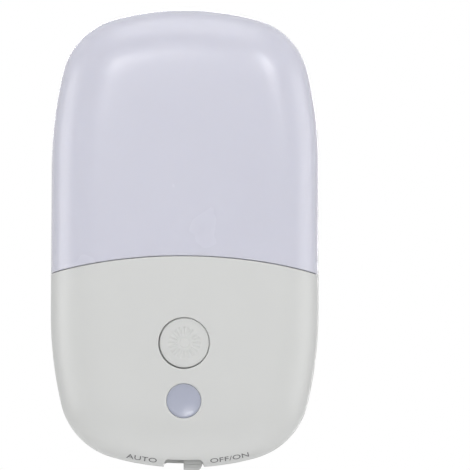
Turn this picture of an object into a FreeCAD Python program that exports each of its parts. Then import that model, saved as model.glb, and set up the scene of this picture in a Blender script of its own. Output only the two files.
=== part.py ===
import FreeCAD, Part
import Sketcher
import math
import os
from FreeCAD import Placement, Rotation, Vector

# Plug in night light: a moulded rear housing with two plug blades, and a front shell
# split along a shallow arc into a translucent diffuser above and a cover below. The
# cover has a round push button, a light sensor window and, in its bottom edge, the
# knob of a slide switch. Inside are a main board, a board of lamps and a reflector.
#
# Frame: the origin is on the wall, midway between the blades, +Z is up and the front
# faces -Y. A depth is a distance in front of the wall, so a point at depth d has y = -d.

SIZES = {
    # Outline seen from the front: straight sides, then shoulder, corner and end arcs.
    "body_width": 61.2,
    "body_height": 104.0,
    "plug_to_bottom": 24.0,
    "side_straight": 44.0,
    "shoulder_radius": 66.5,
    "corner_radius": 16.5,
    "end_radius": 68.5,
    # Depths and walls of the three shells.
    "boss_height": 1.2,
    "rear_depth": 15.0,
    "front_depth": 13.8,
    "back_wall": 2.2,
    "rear_wall": 2.2,
    "front_wall": 1.8,
    "rim_reveal": 0.35,
    "back_bevel": 2.0,
    "edge_radius": 8.0,
    "inner_chamfer": 4.6,
    "fit_gap": 0.15,
    "running_gap": 0.05,
    "lap_inset": 1.1,
    "lap_height": 1.2,
    # Seam between diffuser and cover, an arc that rises in the middle.
    "seam_height": 47.6,
    "seam_radius": 117.0,
    "seam_gap": 0.2,
    "seam_lip": 2.0,
    "cover_skin": 0.8,
    # Scallop in the bottom edge, with the slot of the slide switch in it.
    "notch_half": 4.55,
    "notch_corner": 1.0,
    "rear_notch": 0.95,
    "cover_notch": 1.3,
    "slot_half": 4.4,
    "slot_depth": 4.3,
    "tongue_break": 8.2,
    # Screws from the back, through pillars and main board, into the cover's bosses.
    "screw_x": 18.5,
    "screw_z": -11.0,
    "prop_x": 22.0,
    "prop_z": 12.0,
    "prop_half": 2.0,
    "pillar_radius": 3.8,
    "counterbore_radius": 2.7,
    "counterbore_depth": 7.8,
    "cover_boss_radius": 3.0,
    "boss_root": 0.2,
    "screw_radius": 1.25,
    "screw_hole_radius": 1.45,
    "screw_head_radius": 2.4,
    "screw_head_height": 1.8,
    "screw_length": 15.0,
    # Plug insert and blades.
    "blade_spacing": 12.7,
    "blade_thick": 1.5,
    "line_blade_width": 6.35,
    "neutral_blade_width": 7.9,
    "blade_reach": 16.5,
    "blade_hole_radius": 1.6,
    "blade_hole_reach": 11.8,
    "blade_tip": 2.2,
    "tag_width": 3.2,
    "tag_thick": 0.8,
    "tag_stand": 0.8,
    "insert_width": 26.0,
    "insert_height": 16.0,
    "insert_corner": 3.0,
    "insert_flange": 1.5,
    "insert_flange_thick": 2.0,
    "insert_core_half": 9.5,
    "insert_core_thick": 3.6,
    # Main board.
    "board_depth": 15.0,
    "board_thick": 1.2,
    "board_margin": 4.1,
    "board_foot_half": 15.0,
    "board_shoulder": -8.0,
    "board_bottom": -19.2,
    "board_top": 15.5,
    # Board of lamps, with a tongue behind the main board.
    "led_board_depth": 12.0,
    "led_board_margin": 4.3,
    "led_board_crop": 12.3,
    "led_board_shoulder_drop": 17.0,
    "led_board_top_gap": 5.0,
    "led_board_bottom": 19.8,
    "led_tongue_half": 7.0,
    "led_tongue_bottom": 12.0,
    "led_post_half": 2.6,
    "led_post_low": 27.0,
    "led_post_drop": 6.0,
    "led_screw_radius": 1.1,
    "led_screw_length": 7.0,
    "led_screw_head_radius": 2.1,
    "led_screw_head_height": 1.5,
    "led_column": 11.0,
    "led_first": 30.0,
    "led_last_drop": 9.0,
    "led_width": 2.8,
    "led_height": 3.5,
    "led_thick": 0.7,
    "led_lens_half": 1.1,
    "led_lens_recess": 0.15,
    "header_half": 4.0,
    "header_bottom": 12.6,
    "header_height": 2.5,
    # Reflector tray in front of the lamps.
    "tray_margin": 0.4,
    "tray_wall": 1.0,
    "tray_depth": 8.8,
    "tray_bottom": 19.4,
    "tray_window_gap": 0.3,
    # Push button and the switch behind it.
    "button_z": 4.1,
    "button_hole_radius": 5.75,
    "button_radius": 5.45,
    "button_recess": 0.25,
    "button_edge": 0.3,
    "button_flange_radius": 6.3,
    "button_flange_thick": 1.1,
    "button_stem_radius": 2.2,
    "ray_count": 20,
    "ray_inner": 1.7,
    "ray_outer": 3.6,
    "ray_width": 0.34,
    "ray_depth": 0.18,
    "hub_radius": 1.15,
    "tact_half": 3.1,
    "tact_thick": 3.6,
    "plunger_radius": 1.75,
    "plunger_stand": 1.1,
    "plunger_root": 1.0,
    "plunger_room": 0.8,
    # Light sensor behind its window.
    "sensor_z": -8.8,
    "window_hole_radius": 3.875,
    "window_radius": 3.8,
    "window_recess": 0.9,
    "window_flange_radius": 4.5,
    "window_flange_thick": 1.0,
    "sleeve_radius": 4.3,
    "sleeve_bore": 2.65,
    "cell_radius": 2.5,
    "cell_thick": 2.1,
    "cell_stand": 4.8,
    "cell_leg_thick": 0.5,
    "cell_leg_half": 1.7,
    # Slide switch: can on the main board, lever and knob.
    "can_half": 4.5,
    "can_bottom": -19.4,
    "can_height": 3.4,
    "can_thick": 4.0,
    "slide_travel": 4.1,
    "lever_half": 0.9,
    "lever_top": -17.3,
    "lever_bottom": -21.0,
    "lever_thick": 1.4,
    "lever_stand": 1.4,
    "lever_room": 0.15,
    "tab_half": 2.1,
    "tab_front": 20.1,
    "tab_back": 16.6,
    "tab_bottom": -25.2,
    "tab_corner": 0.7,
    "tab_slope_width": 1.2,
    "tab_slope_height": 1.4,
    "shield_half": 6.9,
    "shield_top": -19.7,
    "shield_thick": 0.8,
    "shield_front": 20.9,
    "shield_back": 16.4,
    "ridge_pitch": 0.7,
    "ridge_depth": 0.15,
    "ridge_count": 4,
    # Components on the main board.
    "film_x": -6.5,
    "film_z": 8.95,
    "film_width": 13.0,
    "film_height": 5.5,
    "film_thick": 8.5,
    "film_edge": 0.8,
    "can_cap_x": 7.5,
    "can_cap_z": 9.4,
    "can_cap_radius": 3.15,
    "can_cap_length": 11.0,
    "bridge_margin": 10.0,
    "bridge_z": 1.0,
    "bridge_width": 4.7,
    "bridge_height": 3.9,
    "bridge_thick": 2.4,
    "fuse_margin": 11.0,
    "fuse_z": 1.0,
    "fuse_radius": 1.6,
    "fuse_length": 9.0,
    "disc_margin": 5.0,
    "disc_z": -4.0,
    "disc_radius": 3.5,
    "disc_thick": 3.0,
    "chip_margin": 11.5,
    "chip_z": 3.0,
    "chip_width": 3.9,
    "chip_height": 4.9,
    "chip_thick": 1.5,
    "chip_lead_reach": 1.05,
    "chip_lead_width": 0.4,
    "chip_lead_thick": 0.2,
    "chip_lead_pitch": 1.27,
}


class Size:
    """A length with the sheet expression that gives it."""

    def __init__(self, value, text):
        self.value = value
        self.text = text

    @staticmethod
    def of(other):
        return other if isinstance(other, Size) else Size(other, f"({other!r})")

    def joined(self, sign, other, value):
        return Size(value, f"({self.text} {sign} {other.text})")

    def __add__(self, other):
        other = Size.of(other)
        return self.joined("+", other, self.value + other.value)

    def __sub__(self, other):
        other = Size.of(other)
        return self.joined("-", other, self.value - other.value)

    def __mul__(self, other):
        other = Size.of(other)
        return self.joined("*", other, self.value * other.value)

    def __truediv__(self, other):
        other = Size.of(other)
        return self.joined("/", other, self.value / other.value)

    def __neg__(self):
        return Size(0, "0") - self

    def __radd__(self, other):
        return Size.of(other) + self

    def __rsub__(self, other):
        return Size.of(other) - self

    def __rmul__(self, other):
        return Size.of(other) * self


doc = FreeCAD.newDocument("night_light")
sheet = doc.addObject("Spreadsheet::Sheet", "Sizes")
for row, (alias, number) in enumerate(SIZES.items(), 1):
    sheet.set(f"A{row}", alias)
    sheet.set(f"B{row}", str(number))
    sheet.setAlias(f"B{row}", alias)
doc.recompute()


class Sheet:
    """Gives each driving dimension as a Size, by its alias."""

    def __getattr__(self, alias):
        return Size(float(SIZES[alias]), f"Sizes.{alias}")


d = Sheet()
zero = Size(0.0, "0")

# Levels worked out from the driving dimensions.
z_middle = d.body_height / 2 - d.plug_to_bottom
body_bottom = -d.plug_to_bottom
back_face = d.boss_height
floor_depth = back_face + d.back_wall
parting = back_face + d.rear_depth
front_face = parting + d.front_depth
front_inner = front_face - d.front_wall
front_inset = d.rim_reveal
inner_inset = d.rim_reveal + d.front_wall
board_front = d.board_depth + d.board_thick
led_board_front = d.led_board_depth + d.board_thick
led_board_top = body_bottom + d.body_height - d.led_board_top_gap
board_half = d.body_width / 2 - d.board_margin
seam_z = body_bottom + d.seam_height - d.seam_radius
sketch_count = 0


def bind(item, **sizes):
    """Binds properties, named with __ for a dot, to sheet expressions."""
    for name, size in sizes.items():
        item.setExpression(name.replace("__", "."), Size.of(size).text)


def body(name):
    return doc.addObject("PartDesign::Body", name)


def sketch(owner, plane, across=0, up=0, out=0):
    """Adds an empty sketch on one of a body's origin planes, moved by three offsets."""
    global sketch_count
    sketch_count += 1
    item = owner.newObject("Sketcher::SketchObject", f"{owner.Name}_sketch_{sketch_count}")
    origin_plane = [f for f in owner.Origin.OriginFeatures if f.Role == plane][0]
    item.AttachmentSupport = [(origin_plane, "")]
    item.MapMode = "FlatFace"
    offset = [Size.of(v).value for v in (across, up, out)]
    item.AttachmentOffset = Placement(Vector(*offset), Rotation())
    bind(item, AttachmentOffset__Base__x=across, AttachmentOffset__Base__y=up,
         AttachmentOffset__Base__z=out)
    return item


def dimension(item, kind, where, size):
    """Adds one dimensional constraint and binds it to the sheet."""
    size = Size.of(size)
    index = item.addConstraint(Sketcher.Constraint(kind, *where, size.value))
    item.renameConstraint(index, f"size_{index}")
    item.setExpression(f"Constraints.size_{index}", size.text)


def pin(item, geometry, point, across, up):
    """Fixes a point of a sketch at a signed distance from its origin."""
    dimension(item, "DistanceX", (-1, 1, geometry, point), across)
    dimension(item, "DistanceY", (-1, 1, geometry, point), up)


def circle(item, across, up, radius):
    across, up, radius = Size.of(across), Size.of(up), Size.of(radius)
    centre = Vector(across.value, up.value, 0)
    index = item.addGeometry(Part.Circle(centre, Vector(0, 0, 1), radius.value), False)
    pin(item, index, 3, across, up)
    dimension(item, "Radius", (index,), radius)


def polygon(item, points):
    """Adds a closed outline of straight lines through points given as pairs of sizes."""
    points = [(Size.of(a), Size.of(b)) for a, b in points]
    corners = [Vector(a.value, b.value, 0) for a, b in points]
    count = len(corners)
    lines = [Part.LineSegment(corners[i], corners[(i + 1) % count]) for i in range(count)]
    first = item.addGeometry(lines, False)[0]
    for i in range(count):
        item.addConstraint(Sketcher.Constraint("Coincident", first + i, 2,
                                               first + (i + 1) % count, 1))
    for i, (across, up) in enumerate(points):
        pin(item, first + i, 1, across, up)


def rectangle(item, left, right, bottom, top):
    polygon(item, [(left, bottom), (right, bottom), (right, top), (left, top)])


def rounded(item, half_width, half_height, radius):
    """Adds a rectangle with round corners, centred on the sketch's origin."""
    a, b, r = (Size.of(v).value for v in (half_width, half_height, radius))
    out = Vector(0, 0, 1)
    turn = math.pi / 2
    lines = [Part.LineSegment(Vector(r - a, -b, 0), Vector(a - r, -b, 0)),
             Part.LineSegment(Vector(a, r - b, 0), Vector(a, b - r, 0)),
             Part.LineSegment(Vector(a - r, b, 0), Vector(r - a, b, 0)),
             Part.LineSegment(Vector(-a, b - r, 0), Vector(-a, r - b, 0))]
    centres = [(a - r, r - b), (a - r, b - r), (r - a, b - r), (r - a, r - b)]
    arcs = [Part.ArcOfCircle(Part.Circle(Vector(x, y, 0), out, r), (i - 1) * turn, i * turn)
            for i, (x, y) in enumerate(centres)]
    geometry = [edge for pair in zip(lines, arcs) for edge in pair]
    first = item.addGeometry(geometry, False)[0]
    for i in range(8):
        item.addConstraint(Sketcher.Constraint("Tangent", first + i, 2, first + (i + 1) % 8, 1))
    for i, kind in enumerate(("Horizontal", "Vertical", "Horizontal", "Vertical")):
        item.addConstraint(Sketcher.Constraint(kind, first + 2 * i))
    for i in (3, 5, 7):
        item.addConstraint(Sketcher.Constraint("Equal", first + 1, first + i))
    dimension(item, "Radius", (first + 1,), radius)
    dimension(item, "DistanceX", (-1, 1, first + 2, 1), half_width)
    dimension(item, "DistanceX", (-1, 1, first + 6, 1), -Size.of(half_width))
    dimension(item, "DistanceY", (-1, 1, first, 1), -Size.of(half_height))
    dimension(item, "DistanceY", (-1, 1, first + 4, 1), half_height)


def quarter_points(half_width, half_height, straight, shoulder, corner, end):
    """Centres and joints of the three arcs in one quarter of the outline."""
    first = Vector(half_width - shoulder, straight, 0)
    last = Vector(0, half_height - end, 0)
    to_first = shoulder - corner
    to_last = end - corner
    apart = (last - first).Length
    along = (last - first) * (1 / apart)
    foot = (to_first ** 2 - to_last ** 2 + apart ** 2) / (2 * apart)
    rise = math.sqrt(to_first ** 2 - foot ** 2)
    side = Vector(along.y, -along.x, 0) * rise
    middle = max((first + along * foot + side, first + along * foot - side),
                 key=lambda point: point.x + point.y)
    low_joint = first + (middle - first).normalize() * shoulder
    high_joint = last + (middle - last).normalize() * end
    return first, middle, last, low_joint, high_joint


def outline(owner, inset, depth):
    """Adds a sketch of the body's outline, drawn in by inset, at a depth."""
    item = sketch(owner, "XZ_Plane", 0, z_middle, depth)
    half_width = d.body_width / 2 - inset
    half_height = d.body_height / 2 - inset
    straight = d.side_straight / 2
    radii = [d.shoulder_radius - inset, d.corner_radius - inset, d.end_radius - inset]
    a, straight_value = half_width.value, straight.value
    shoulder, corner, end = (r.value for r in radii)
    c1, c2, c3, low, high = quarter_points(a, half_height.value, straight_value,
                                           shoulder, corner, end)
    low_turn = math.atan2(low.y - c1.y, low.x - c1.x)
    high_turn = math.atan2(high.y - c3.y, high.x - c3.x)
    pi = math.pi

    def arc(x, y, radius, start, stop):
        return Part.ArcOfCircle(Part.Circle(Vector(x, y, 0), Vector(0, 0, 1), radius),
                                start, stop)

    item.addGeometry([
        Part.LineSegment(Vector(a, -straight_value, 0), Vector(a, straight_value, 0)),
        arc(c1.x, c1.y, shoulder, 0, low_turn),
        arc(c2.x, c2.y, corner, low_turn, high_turn),
        arc(0, c3.y, end, high_turn, pi - high_turn),
        arc(-c2.x, c2.y, corner, pi - high_turn, pi - low_turn),
        arc(-c1.x, c1.y, shoulder, pi - low_turn, pi),
        Part.LineSegment(Vector(-a, straight_value, 0), Vector(-a, -straight_value, 0)),
        arc(-c1.x, -c1.y, shoulder, pi, pi + low_turn),
        arc(-c2.x, -c2.y, corner, pi + low_turn, pi + high_turn),
        arc(0, -c3.y, end, pi + high_turn, 2 * pi - high_turn),
        arc(c2.x, -c2.y, corner, 2 * pi - high_turn, 2 * pi - low_turn),
        arc(c1.x, -c1.y, shoulder, 2 * pi - low_turn, 2 * pi),
    ], False)
    for i in range(12):
        item.addConstraint(Sketcher.Constraint("Tangent", i, 2, (i + 1) % 12, 1))
    for side in (0, 6):
        item.addConstraint(Sketcher.Constraint("Vertical", side))
    for like, others in ((1, (5, 7, 11)), (2, (4, 8, 10)), (3, (9,))):
        for other in others:
            item.addConstraint(Sketcher.Constraint("Equal", like, other))
    for end_arc in (3, 9):
        item.addConstraint(Sketcher.Constraint("PointOnObject", end_arc, 3, -2))
    dimension(item, "DistanceX", (-1, 1, 0, 2), half_width)
    dimension(item, "DistanceX", (-1, 1, 6, 1), -half_width)
    for side, point, height in ((0, 2, straight), (0, 1, -straight),
                                (6, 1, straight), (6, 2, -straight)):
        dimension(item, "DistanceY", (-1, 1, side, point), height)
    for arc_index, radius in zip((1, 2, 3), radii):
        dimension(item, "Radius", (arc_index,), radius)
    dimension(item, "DistanceY", (-1, 1, 3, 3), d.body_height / 2 - d.end_radius)
    dimension(item, "DistanceY", (-1, 1, 9, 3), d.end_radius - d.body_height / 2)
    return item


def pad(owner, profile, length, name="pad"):
    """Pads a sketch towards its normal: a front sketch grows towards the front."""
    item = owner.newObject("PartDesign::Pad", f"{owner.Name}_{name}")
    item.Profile = profile
    item.Length = Size.of(length).value
    bind(item, Length=length)
    return item


def pocket(owner, profile, length, name="pocket", forward=False):
    """Cuts a sketch away from its normal, or along it where forward is set."""
    item = owner.newObject("PartDesign::Pocket", f"{owner.Name}_{name}")
    item.Profile = profile
    item.Length = Size.of(length).value
    item.Reversed = forward
    bind(item, Length=length)
    return item


def round_edges(owner, base, names, radius, name):
    item = owner.newObject("PartDesign::Fillet", f"{owner.Name}_{name}")
    item.Base = (base, names)
    item.Radius = Size.of(radius).value
    bind(item, Radius=radius)
    return item


def edges_at(shape, depth):
    """Names the edges that lie whole at one depth."""
    names = []
    for index, edge in enumerate(shape.Edges, 1):
        points = edge.discretize(5)
        if all(abs(point.y + depth) < 1e-3 for point in points):
            names.append(f"Edge{index}")
    return names


def block(name, left, right, bottom, top, back, front):
    """A box between two x, two z and two depths."""
    left, right, bottom, top, back, front = (
        Size.of(v) for v in (left, right, bottom, top, back, front))
    item = doc.addObject("Part::Box", name)
    bind(item, Length=right - left, Width=front - back, Height=top - bottom,
         Placement__Base__x=left, Placement__Base__y=-front, Placement__Base__z=bottom)
    return item


def rod(name, x, z, back, front, radius):
    """A round bar that runs from one depth to another."""
    x, z, back, front, radius = (Size.of(v) for v in (x, z, back, front, radius))
    item = doc.addObject("Part::Cylinder", name)
    item.Placement = Placement(Vector(x.value, -back.value, z.value),
                               Rotation(Vector(1, 0, 0), 90))
    bind(item, Radius=radius, Height=front - back, Placement__Base__x=x,
         Placement__Base__y=-back, Placement__Base__z=z)
    return item


def bar(name, left, right, z, depth, radius):
    """A round bar that runs across, from one x to another."""
    left, right, z, depth, radius = (Size.of(v) for v in (left, right, z, depth, radius))
    item = doc.addObject("Part::Cylinder", name)
    item.Placement = Placement(Vector(left.value, -depth.value, z.value),
                               Rotation(Vector(0, 1, 0), 90))
    bind(item, Radius=radius, Height=right - left, Placement__Base__x=left,
         Placement__Base__y=-depth, Placement__Base__z=z)
    return item


def post(name, x, depth, bottom, top, radius):
    """A round bar that stands upright, from one z to another."""
    x, depth, bottom, top, radius = (Size.of(v) for v in (x, depth, bottom, top, radius))
    item = doc.addObject("Part::Cylinder", name)
    bind(item, Radius=radius, Height=top - bottom, Placement__Base__x=x,
         Placement__Base__y=-depth, Placement__Base__z=bottom)
    return item


def fuse(name, parts):
    item = doc.addObject("Part::MultiFuse", name)
    item.Shapes = parts
    item.Refine = True
    return item


def cut(name, base, tools):
    """Cuts one or several tools from a base."""
    item = doc.addObject("Part::Cut", name)
    item.Base = base
    item.Tool = tools[0] if len(tools) == 1 else fuse(f"{name}_tools", tools)
    return item


def common(name, first, second):
    item = doc.addObject("Part::Common", name)
    item.Base = first
    item.Tool = second
    return item


def group(name, parts):
    item = doc.addObject("Part::Compound", name)
    item.Links = parts
    return item


SCREWS = [(sign * d.screw_x, d.screw_z) for sign in (-1, 1)]
PROPS = [(sign * d.prop_x, d.prop_z) for sign in (-1, 1)]
LED_SCREWS = [(zero, d.led_post_low), (zero, led_board_top - d.led_post_drop)]


# Two equal chords of a quarter round: the slope of the first one, and how far the second
# one reaches back along the first from the wall, in radii.
CHORD_SLOPE = math.tan(math.pi / 8)
CHORD_BACK = (1 - math.sqrt(0.5)) / math.cos(math.pi / 8)


def two_way_bevel(owner, base, depth, down, back, name):
    """Chamfers the edges at a depth, down the wall by one size and back by another."""
    item = owner.newObject("PartDesign::Chamfer", f"{owner.Name}_{name}")
    item.Base = (base, edges_at(base.Shape, depth))
    item.ChamferType = "Two distances"
    item.Size = down.value
    item.Size2 = back.value
    bind(item, Size=down, Size2=back)
    doc.recompute()
    return item


def pillow(name, inset, chamfer=None):
    """The front blank drawn in by inset, its edge chamfered or round in two chords."""
    drawn = inset - d.rim_reveal
    radius = d.edge_radius - drawn
    owner = body(name)
    item = pad(owner, outline(owner, inset, parting), d.front_depth - drawn)
    doc.recompute()
    top = front_face.value - drawn.value
    if chamfer is not None:
        two_way_bevel(owner, item, top, chamfer, chamfer, "edge")
        return owner
    slope = radius * CHORD_SLOPE
    item = two_way_bevel(owner, item, top, slope, radius, "upper_edge")
    two_way_bevel(owner, item, top - slope.value, radius - slope, radius * CHORD_BACK,
                  "lower_edge")
    return owner


def disc(name, radius):
    """A disc about the seam's centre, deep enough to cross the front shell."""
    return rod(name, zero, seam_z, back_face, front_face + d.boss_height, radius)


# Front shell: blank less core, split along the seam with a lap joint.
front_blank = pillow("front_blank", front_inset)
front_core = pillow("front_core", inner_inset, d.inner_chamfer)
skin_core = pillow("skin_core", front_inset + d.cover_skin)
lip_core = pillow("lip_core", front_inset + d.cover_skin + d.fit_gap)
half_gap = d.seam_gap / 2
seam_outer = disc("seam_outer", d.seam_radius + half_gap)
seam_inner = disc("seam_inner", d.seam_radius - half_gap)
lip_end = disc("lip_end", d.seam_radius - d.seam_lip)
rebate_end = disc("rebate_end", d.seam_radius - d.seam_lip - d.fit_gap)

# The rim of the front shell is rebated inside, over the tongue of the rear housing.
rim_rebate = body("rim_rebate")
pad(rim_rebate, outline(rim_rebate, d.lap_inset, parting), d.lap_height + d.fit_gap)

diffuser_wall = cut("diffuser_wall", front_blank, [front_core, seam_outer])
lip_band = common("lip_band", lip_core, seam_outer)
diffuser_lip = cut("diffuser_lip", lip_band, [front_core, lip_end])
diffuser_whole = fuse("diffuser_whole", [diffuser_wall, diffuser_lip])
diffuser = cut("diffuser", diffuser_whole, [rim_rebate])

cover_solid = common("cover_solid", front_blank, seam_inner)
cover_rebate = cut("cover_rebate", skin_core, [rebate_end])
cover_wall = cut("cover_wall", cover_solid, [front_core, cover_rebate, rim_rebate])
cover_adds = [rod(f"cover_boss_{i}", x, z, board_front, front_inner + d.boss_root,
                  d.cover_boss_radius) for i, (x, z) in enumerate(SCREWS, 1)]
cover_cuts = [rod("button_bore", zero, d.button_z, parting, front_face,
                  d.button_hole_radius),
              rod("window_bore", zero, d.sensor_z, parting, front_face,
                  d.window_hole_radius),
              block("cover_slot", -d.slot_half, d.slot_half, body_bottom,
                    d.can_bottom, parting, parting + d.slot_depth)]
screw_head = back_face + d.counterbore_depth
screw_tip = screw_head + d.screw_length
cover_cuts += [rod(f"cover_pilot_{i}", x, z, board_front, screw_tip, d.screw_radius)
               for i, (x, z) in enumerate(SCREWS, 1)]


def scallop(name, height):
    """A shallow channel up the bottom edge, as deep as the shells."""
    owner = body(name)
    item = sketch(owner, "XZ_Plane", 0, body_bottom, 0)
    rounded(item, d.notch_half, height, d.notch_corner * height / d.cover_notch)
    pad(owner, item, front_face)
    return owner


cover_cuts.append(scallop("cover_scallop", d.cover_notch))
cover_whole = fuse("cover_whole", [cover_wall] + cover_adds)
front_cover = cut("front_cover", cover_whole, cover_cuts)

# Rear housing: a tray with a tongue round its rim, screw pillars, posts for the board
# of lamps and an opening for the plug insert.
rear = body("rear_tray")
rear_pad = pad(rear, outline(rear, zero, back_face), d.rear_depth)
doc.recompute()
bevel = rear.newObject("PartDesign::Chamfer", "rear_tray_bevel")
bevel.Base = (rear_pad, edges_at(rear_pad.Shape, back_face.value))
bevel.Size = d.back_bevel.value
bind(bevel, Size=d.back_bevel)
tongue_inset = d.lap_inset + d.fit_gap
tongue_top = parting + d.lap_height
pad(rear, outline(rear, tongue_inset, parting), d.lap_height, "tongue")
pocket(rear, outline(rear, d.rear_wall, tongue_top), tongue_top - floor_depth, "cavity")
pillars = sketch(rear, "XZ_Plane", 0, 0, floor_depth)
for x, z in SCREWS:
    circle(pillars, x, z, d.pillar_radius)
for x, z in PROPS:
    rectangle(pillars, x - d.prop_half, x + d.prop_half, z - d.prop_half, z + d.prop_half)
pad(rear, pillars, d.board_depth - floor_depth, "pillars")
posts = sketch(rear, "XZ_Plane", 0, 0, floor_depth)
for x, z in LED_SCREWS:
    rectangle(posts, x - d.led_post_half, x + d.led_post_half, z - d.led_post_half,
              z + d.led_post_half)
pad(rear, posts, d.led_board_depth - floor_depth, "posts")
opening = sketch(rear, "XZ_Plane", 0, 0, floor_depth)
rounded(opening, d.insert_width / 2 + d.fit_gap, d.insert_height / 2 + d.fit_gap,
        d.insert_corner + d.fit_gap)
pocket(rear, opening, d.back_wall, "plug_opening")
holes = sketch(rear, "XZ_Plane", 0, 0, d.board_depth)
for x, z in SCREWS:
    circle(holes, x, z, d.screw_hole_radius)
pocket(rear, holes, d.board_depth - screw_head, "screw_holes")
bores = sketch(rear, "XZ_Plane", 0, 0, screw_head)
for x, z in SCREWS:
    circle(bores, x, z, d.counterbore_radius)
pocket(rear, bores, d.counterbore_depth, "counterbores")
led_screw_tip = led_board_front + d.tray_wall - d.led_screw_length
pilots = sketch(rear, "XZ_Plane", 0, 0, d.led_board_depth)
for x, z in LED_SCREWS:
    circle(pilots, x, z, d.led_screw_radius)
pocket(rear, pilots, d.led_board_depth - led_screw_tip, "pilot_holes")
rear_scallop = scallop("rear_scallop", d.rear_notch)
tongue_gap = block("tongue_gap", -d.tongue_break, d.tongue_break, body_bottom,
                   d.can_bottom, parting, tongue_top)
rear_housing = cut("rear_housing", rear, [rear_scallop, tongue_gap])

# Plug insert: a boss through the back wall, a flange behind it and a core round the
# blades.
insert = body("insert_body")
insert_profile = sketch(insert, "XZ_Plane")
rounded(insert_profile, d.insert_width / 2, d.insert_height / 2, d.insert_corner)
pad(insert, insert_profile, floor_depth, "boss")
flange_profile = sketch(insert, "XZ_Plane", 0, 0, floor_depth)
flange_half = d.insert_width / 2 + d.insert_flange
flange_rise = d.insert_height / 2 + d.insert_flange
rectangle(flange_profile, -flange_half, flange_half, -flange_rise, flange_rise)
pad(insert, flange_profile, d.insert_flange_thick, "flange")
core_profile = sketch(insert, "XZ_Plane", 0, 0, floor_depth + d.insert_flange_thick)
core_half = d.neutral_blade_width / 2 + d.insert_flange_thick
rectangle(core_profile, -d.insert_core_half, d.insert_core_half, -core_half, core_half)
pad(insert, core_profile, d.insert_core_thick, "core")
insert_top = floor_depth + d.insert_flange_thick + d.insert_core_thick
tag_top = board_front + d.tag_stand


def blade(name, side, width):
    """A plug blade: round-cornered tip with its hole, root in the insert, solder tag."""
    owner = body(name)
    half = width / 2
    x = side * d.blade_spacing / 2
    profile = sketch(owner, "YZ_Plane", 0, 0, x - d.blade_thick / 2)
    polygon(profile, [(-insert_top, -half), (d.blade_reach - d.blade_tip, -half),
                      (d.blade_reach, d.blade_tip - half), (d.blade_reach, half - d.blade_tip),
                      (d.blade_reach - d.blade_tip, half), (-insert_top, half)])
    pad(owner, profile, d.blade_thick)
    hole = sketch(owner, "YZ_Plane", 0, 0, x - d.blade_thick / 2)
    circle(hole, d.blade_hole_reach, 0, d.blade_hole_radius)
    pocket(owner, hole, d.blade_thick, "hole", forward=True)
    tag = sketch(owner, "YZ_Plane", 0, 0, x - d.tag_thick / 2)
    rectangle(tag, -tag_top, -insert_top, -d.tag_width / 2, d.tag_width / 2)
    pad(owner, tag, d.tag_thick, "tag")
    return owner


line_blade = blade("line_blade", 1, d.line_blade_width)
neutral_blade = blade("neutral_blade", -1, d.neutral_blade_width)
plug_insert = cut("plug_insert", insert, [line_blade, neutral_blade])

# Main board, screwed between the pillars and the cover's bosses.
board_panel = body("board_panel")
board_profile = sketch(board_panel, "XZ_Plane", 0, 0, d.board_depth)
polygon(board_profile, [(-d.board_foot_half, d.board_bottom),
                        (d.board_foot_half, d.board_bottom),
                        (board_half, d.board_shoulder), (board_half, d.board_top),
                        (-board_half, d.board_top), (-board_half, d.board_shoulder)])
pad(board_panel, board_profile, d.board_thick)
board_cuts = [rod(f"board_hole_{i}", x, z, d.board_depth, board_front, d.screw_hole_radius)
              for i, (x, z) in enumerate(SCREWS, 1)]
for side, word in ((1, "line"), (-1, "neutral")):
    x = side * d.blade_spacing / 2
    board_cuts.append(block(f"{word}_tag_slot", x - d.tag_thick / 2, x + d.tag_thick / 2,
                            -d.tag_width / 2, d.tag_width / 2, d.board_depth, board_front))
main_board = cut("main_board", board_panel, board_cuts)

# Board of lamps on its two posts, with a tongue that laps behind the main board.
led_plate = body("led_plate")


def upper_outline(item, foot, margin):
    """Adds the outline of the lamps' compartment: a foot, sides and a cropped top."""
    half = d.body_width / 2 - d.led_board_margin + margin
    crown = half - d.led_board_crop - margin / 2
    shoulder = led_board_top - d.led_board_shoulder_drop
    top = led_board_top + margin
    polygon(item, [(-half, foot), (half, foot), (half, shoulder), (crown, top),
                   (-crown, top), (-half, shoulder)])


led_profile = sketch(led_plate, "XZ_Plane", 0, 0, d.led_board_depth)
upper_outline(led_profile, d.led_board_bottom, zero)
pad(led_plate, led_profile, d.board_thick)
tongue_profile = sketch(led_plate, "XZ_Plane", 0, 0, d.led_board_depth)
rectangle(tongue_profile, -d.led_tongue_half, d.led_tongue_half, d.led_tongue_bottom,
          d.led_board_bottom)
pad(led_plate, tongue_profile, d.board_thick, "tongue")
led_board = cut("led_board", led_plate,
                [rod(f"led_board_hole_{i}", x, z, d.led_board_depth, led_board_front,
                     d.led_screw_radius) for i, (x, z) in enumerate(LED_SCREWS, 1)])
board_header = block("board_header", -d.header_half, d.header_half, d.header_bottom,
                     d.header_bottom + d.header_height, led_board_front, d.board_depth)

# Lamps in two columns of four, each a flat case with a square lens set into it.
led_pitch = (led_board_top - d.led_last_drop - d.led_first) / 3
LED_PLACES = [(side * d.led_column, d.led_first + row * led_pitch)
              for side in (-1, 1) for row in range(4)]
led_front = led_board_front + d.led_thick


def lamp(index, x, z):
    case = block(f"led_case_{index}", x - d.led_width / 2, x + d.led_width / 2,
                 z - d.led_height / 2, z + d.led_height / 2, led_board_front, led_front)
    half = d.led_lens_half
    well = block(f"led_well_{index}", x - half, x + half, z - half, z + half,
                 led_front - d.led_lens_recess, led_front)
    return cut(f"led_{index}", case, [well])


leds = group("leds", [lamp(i, x, z) for i, (x, z) in enumerate(LED_PLACES, 1)])

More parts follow.
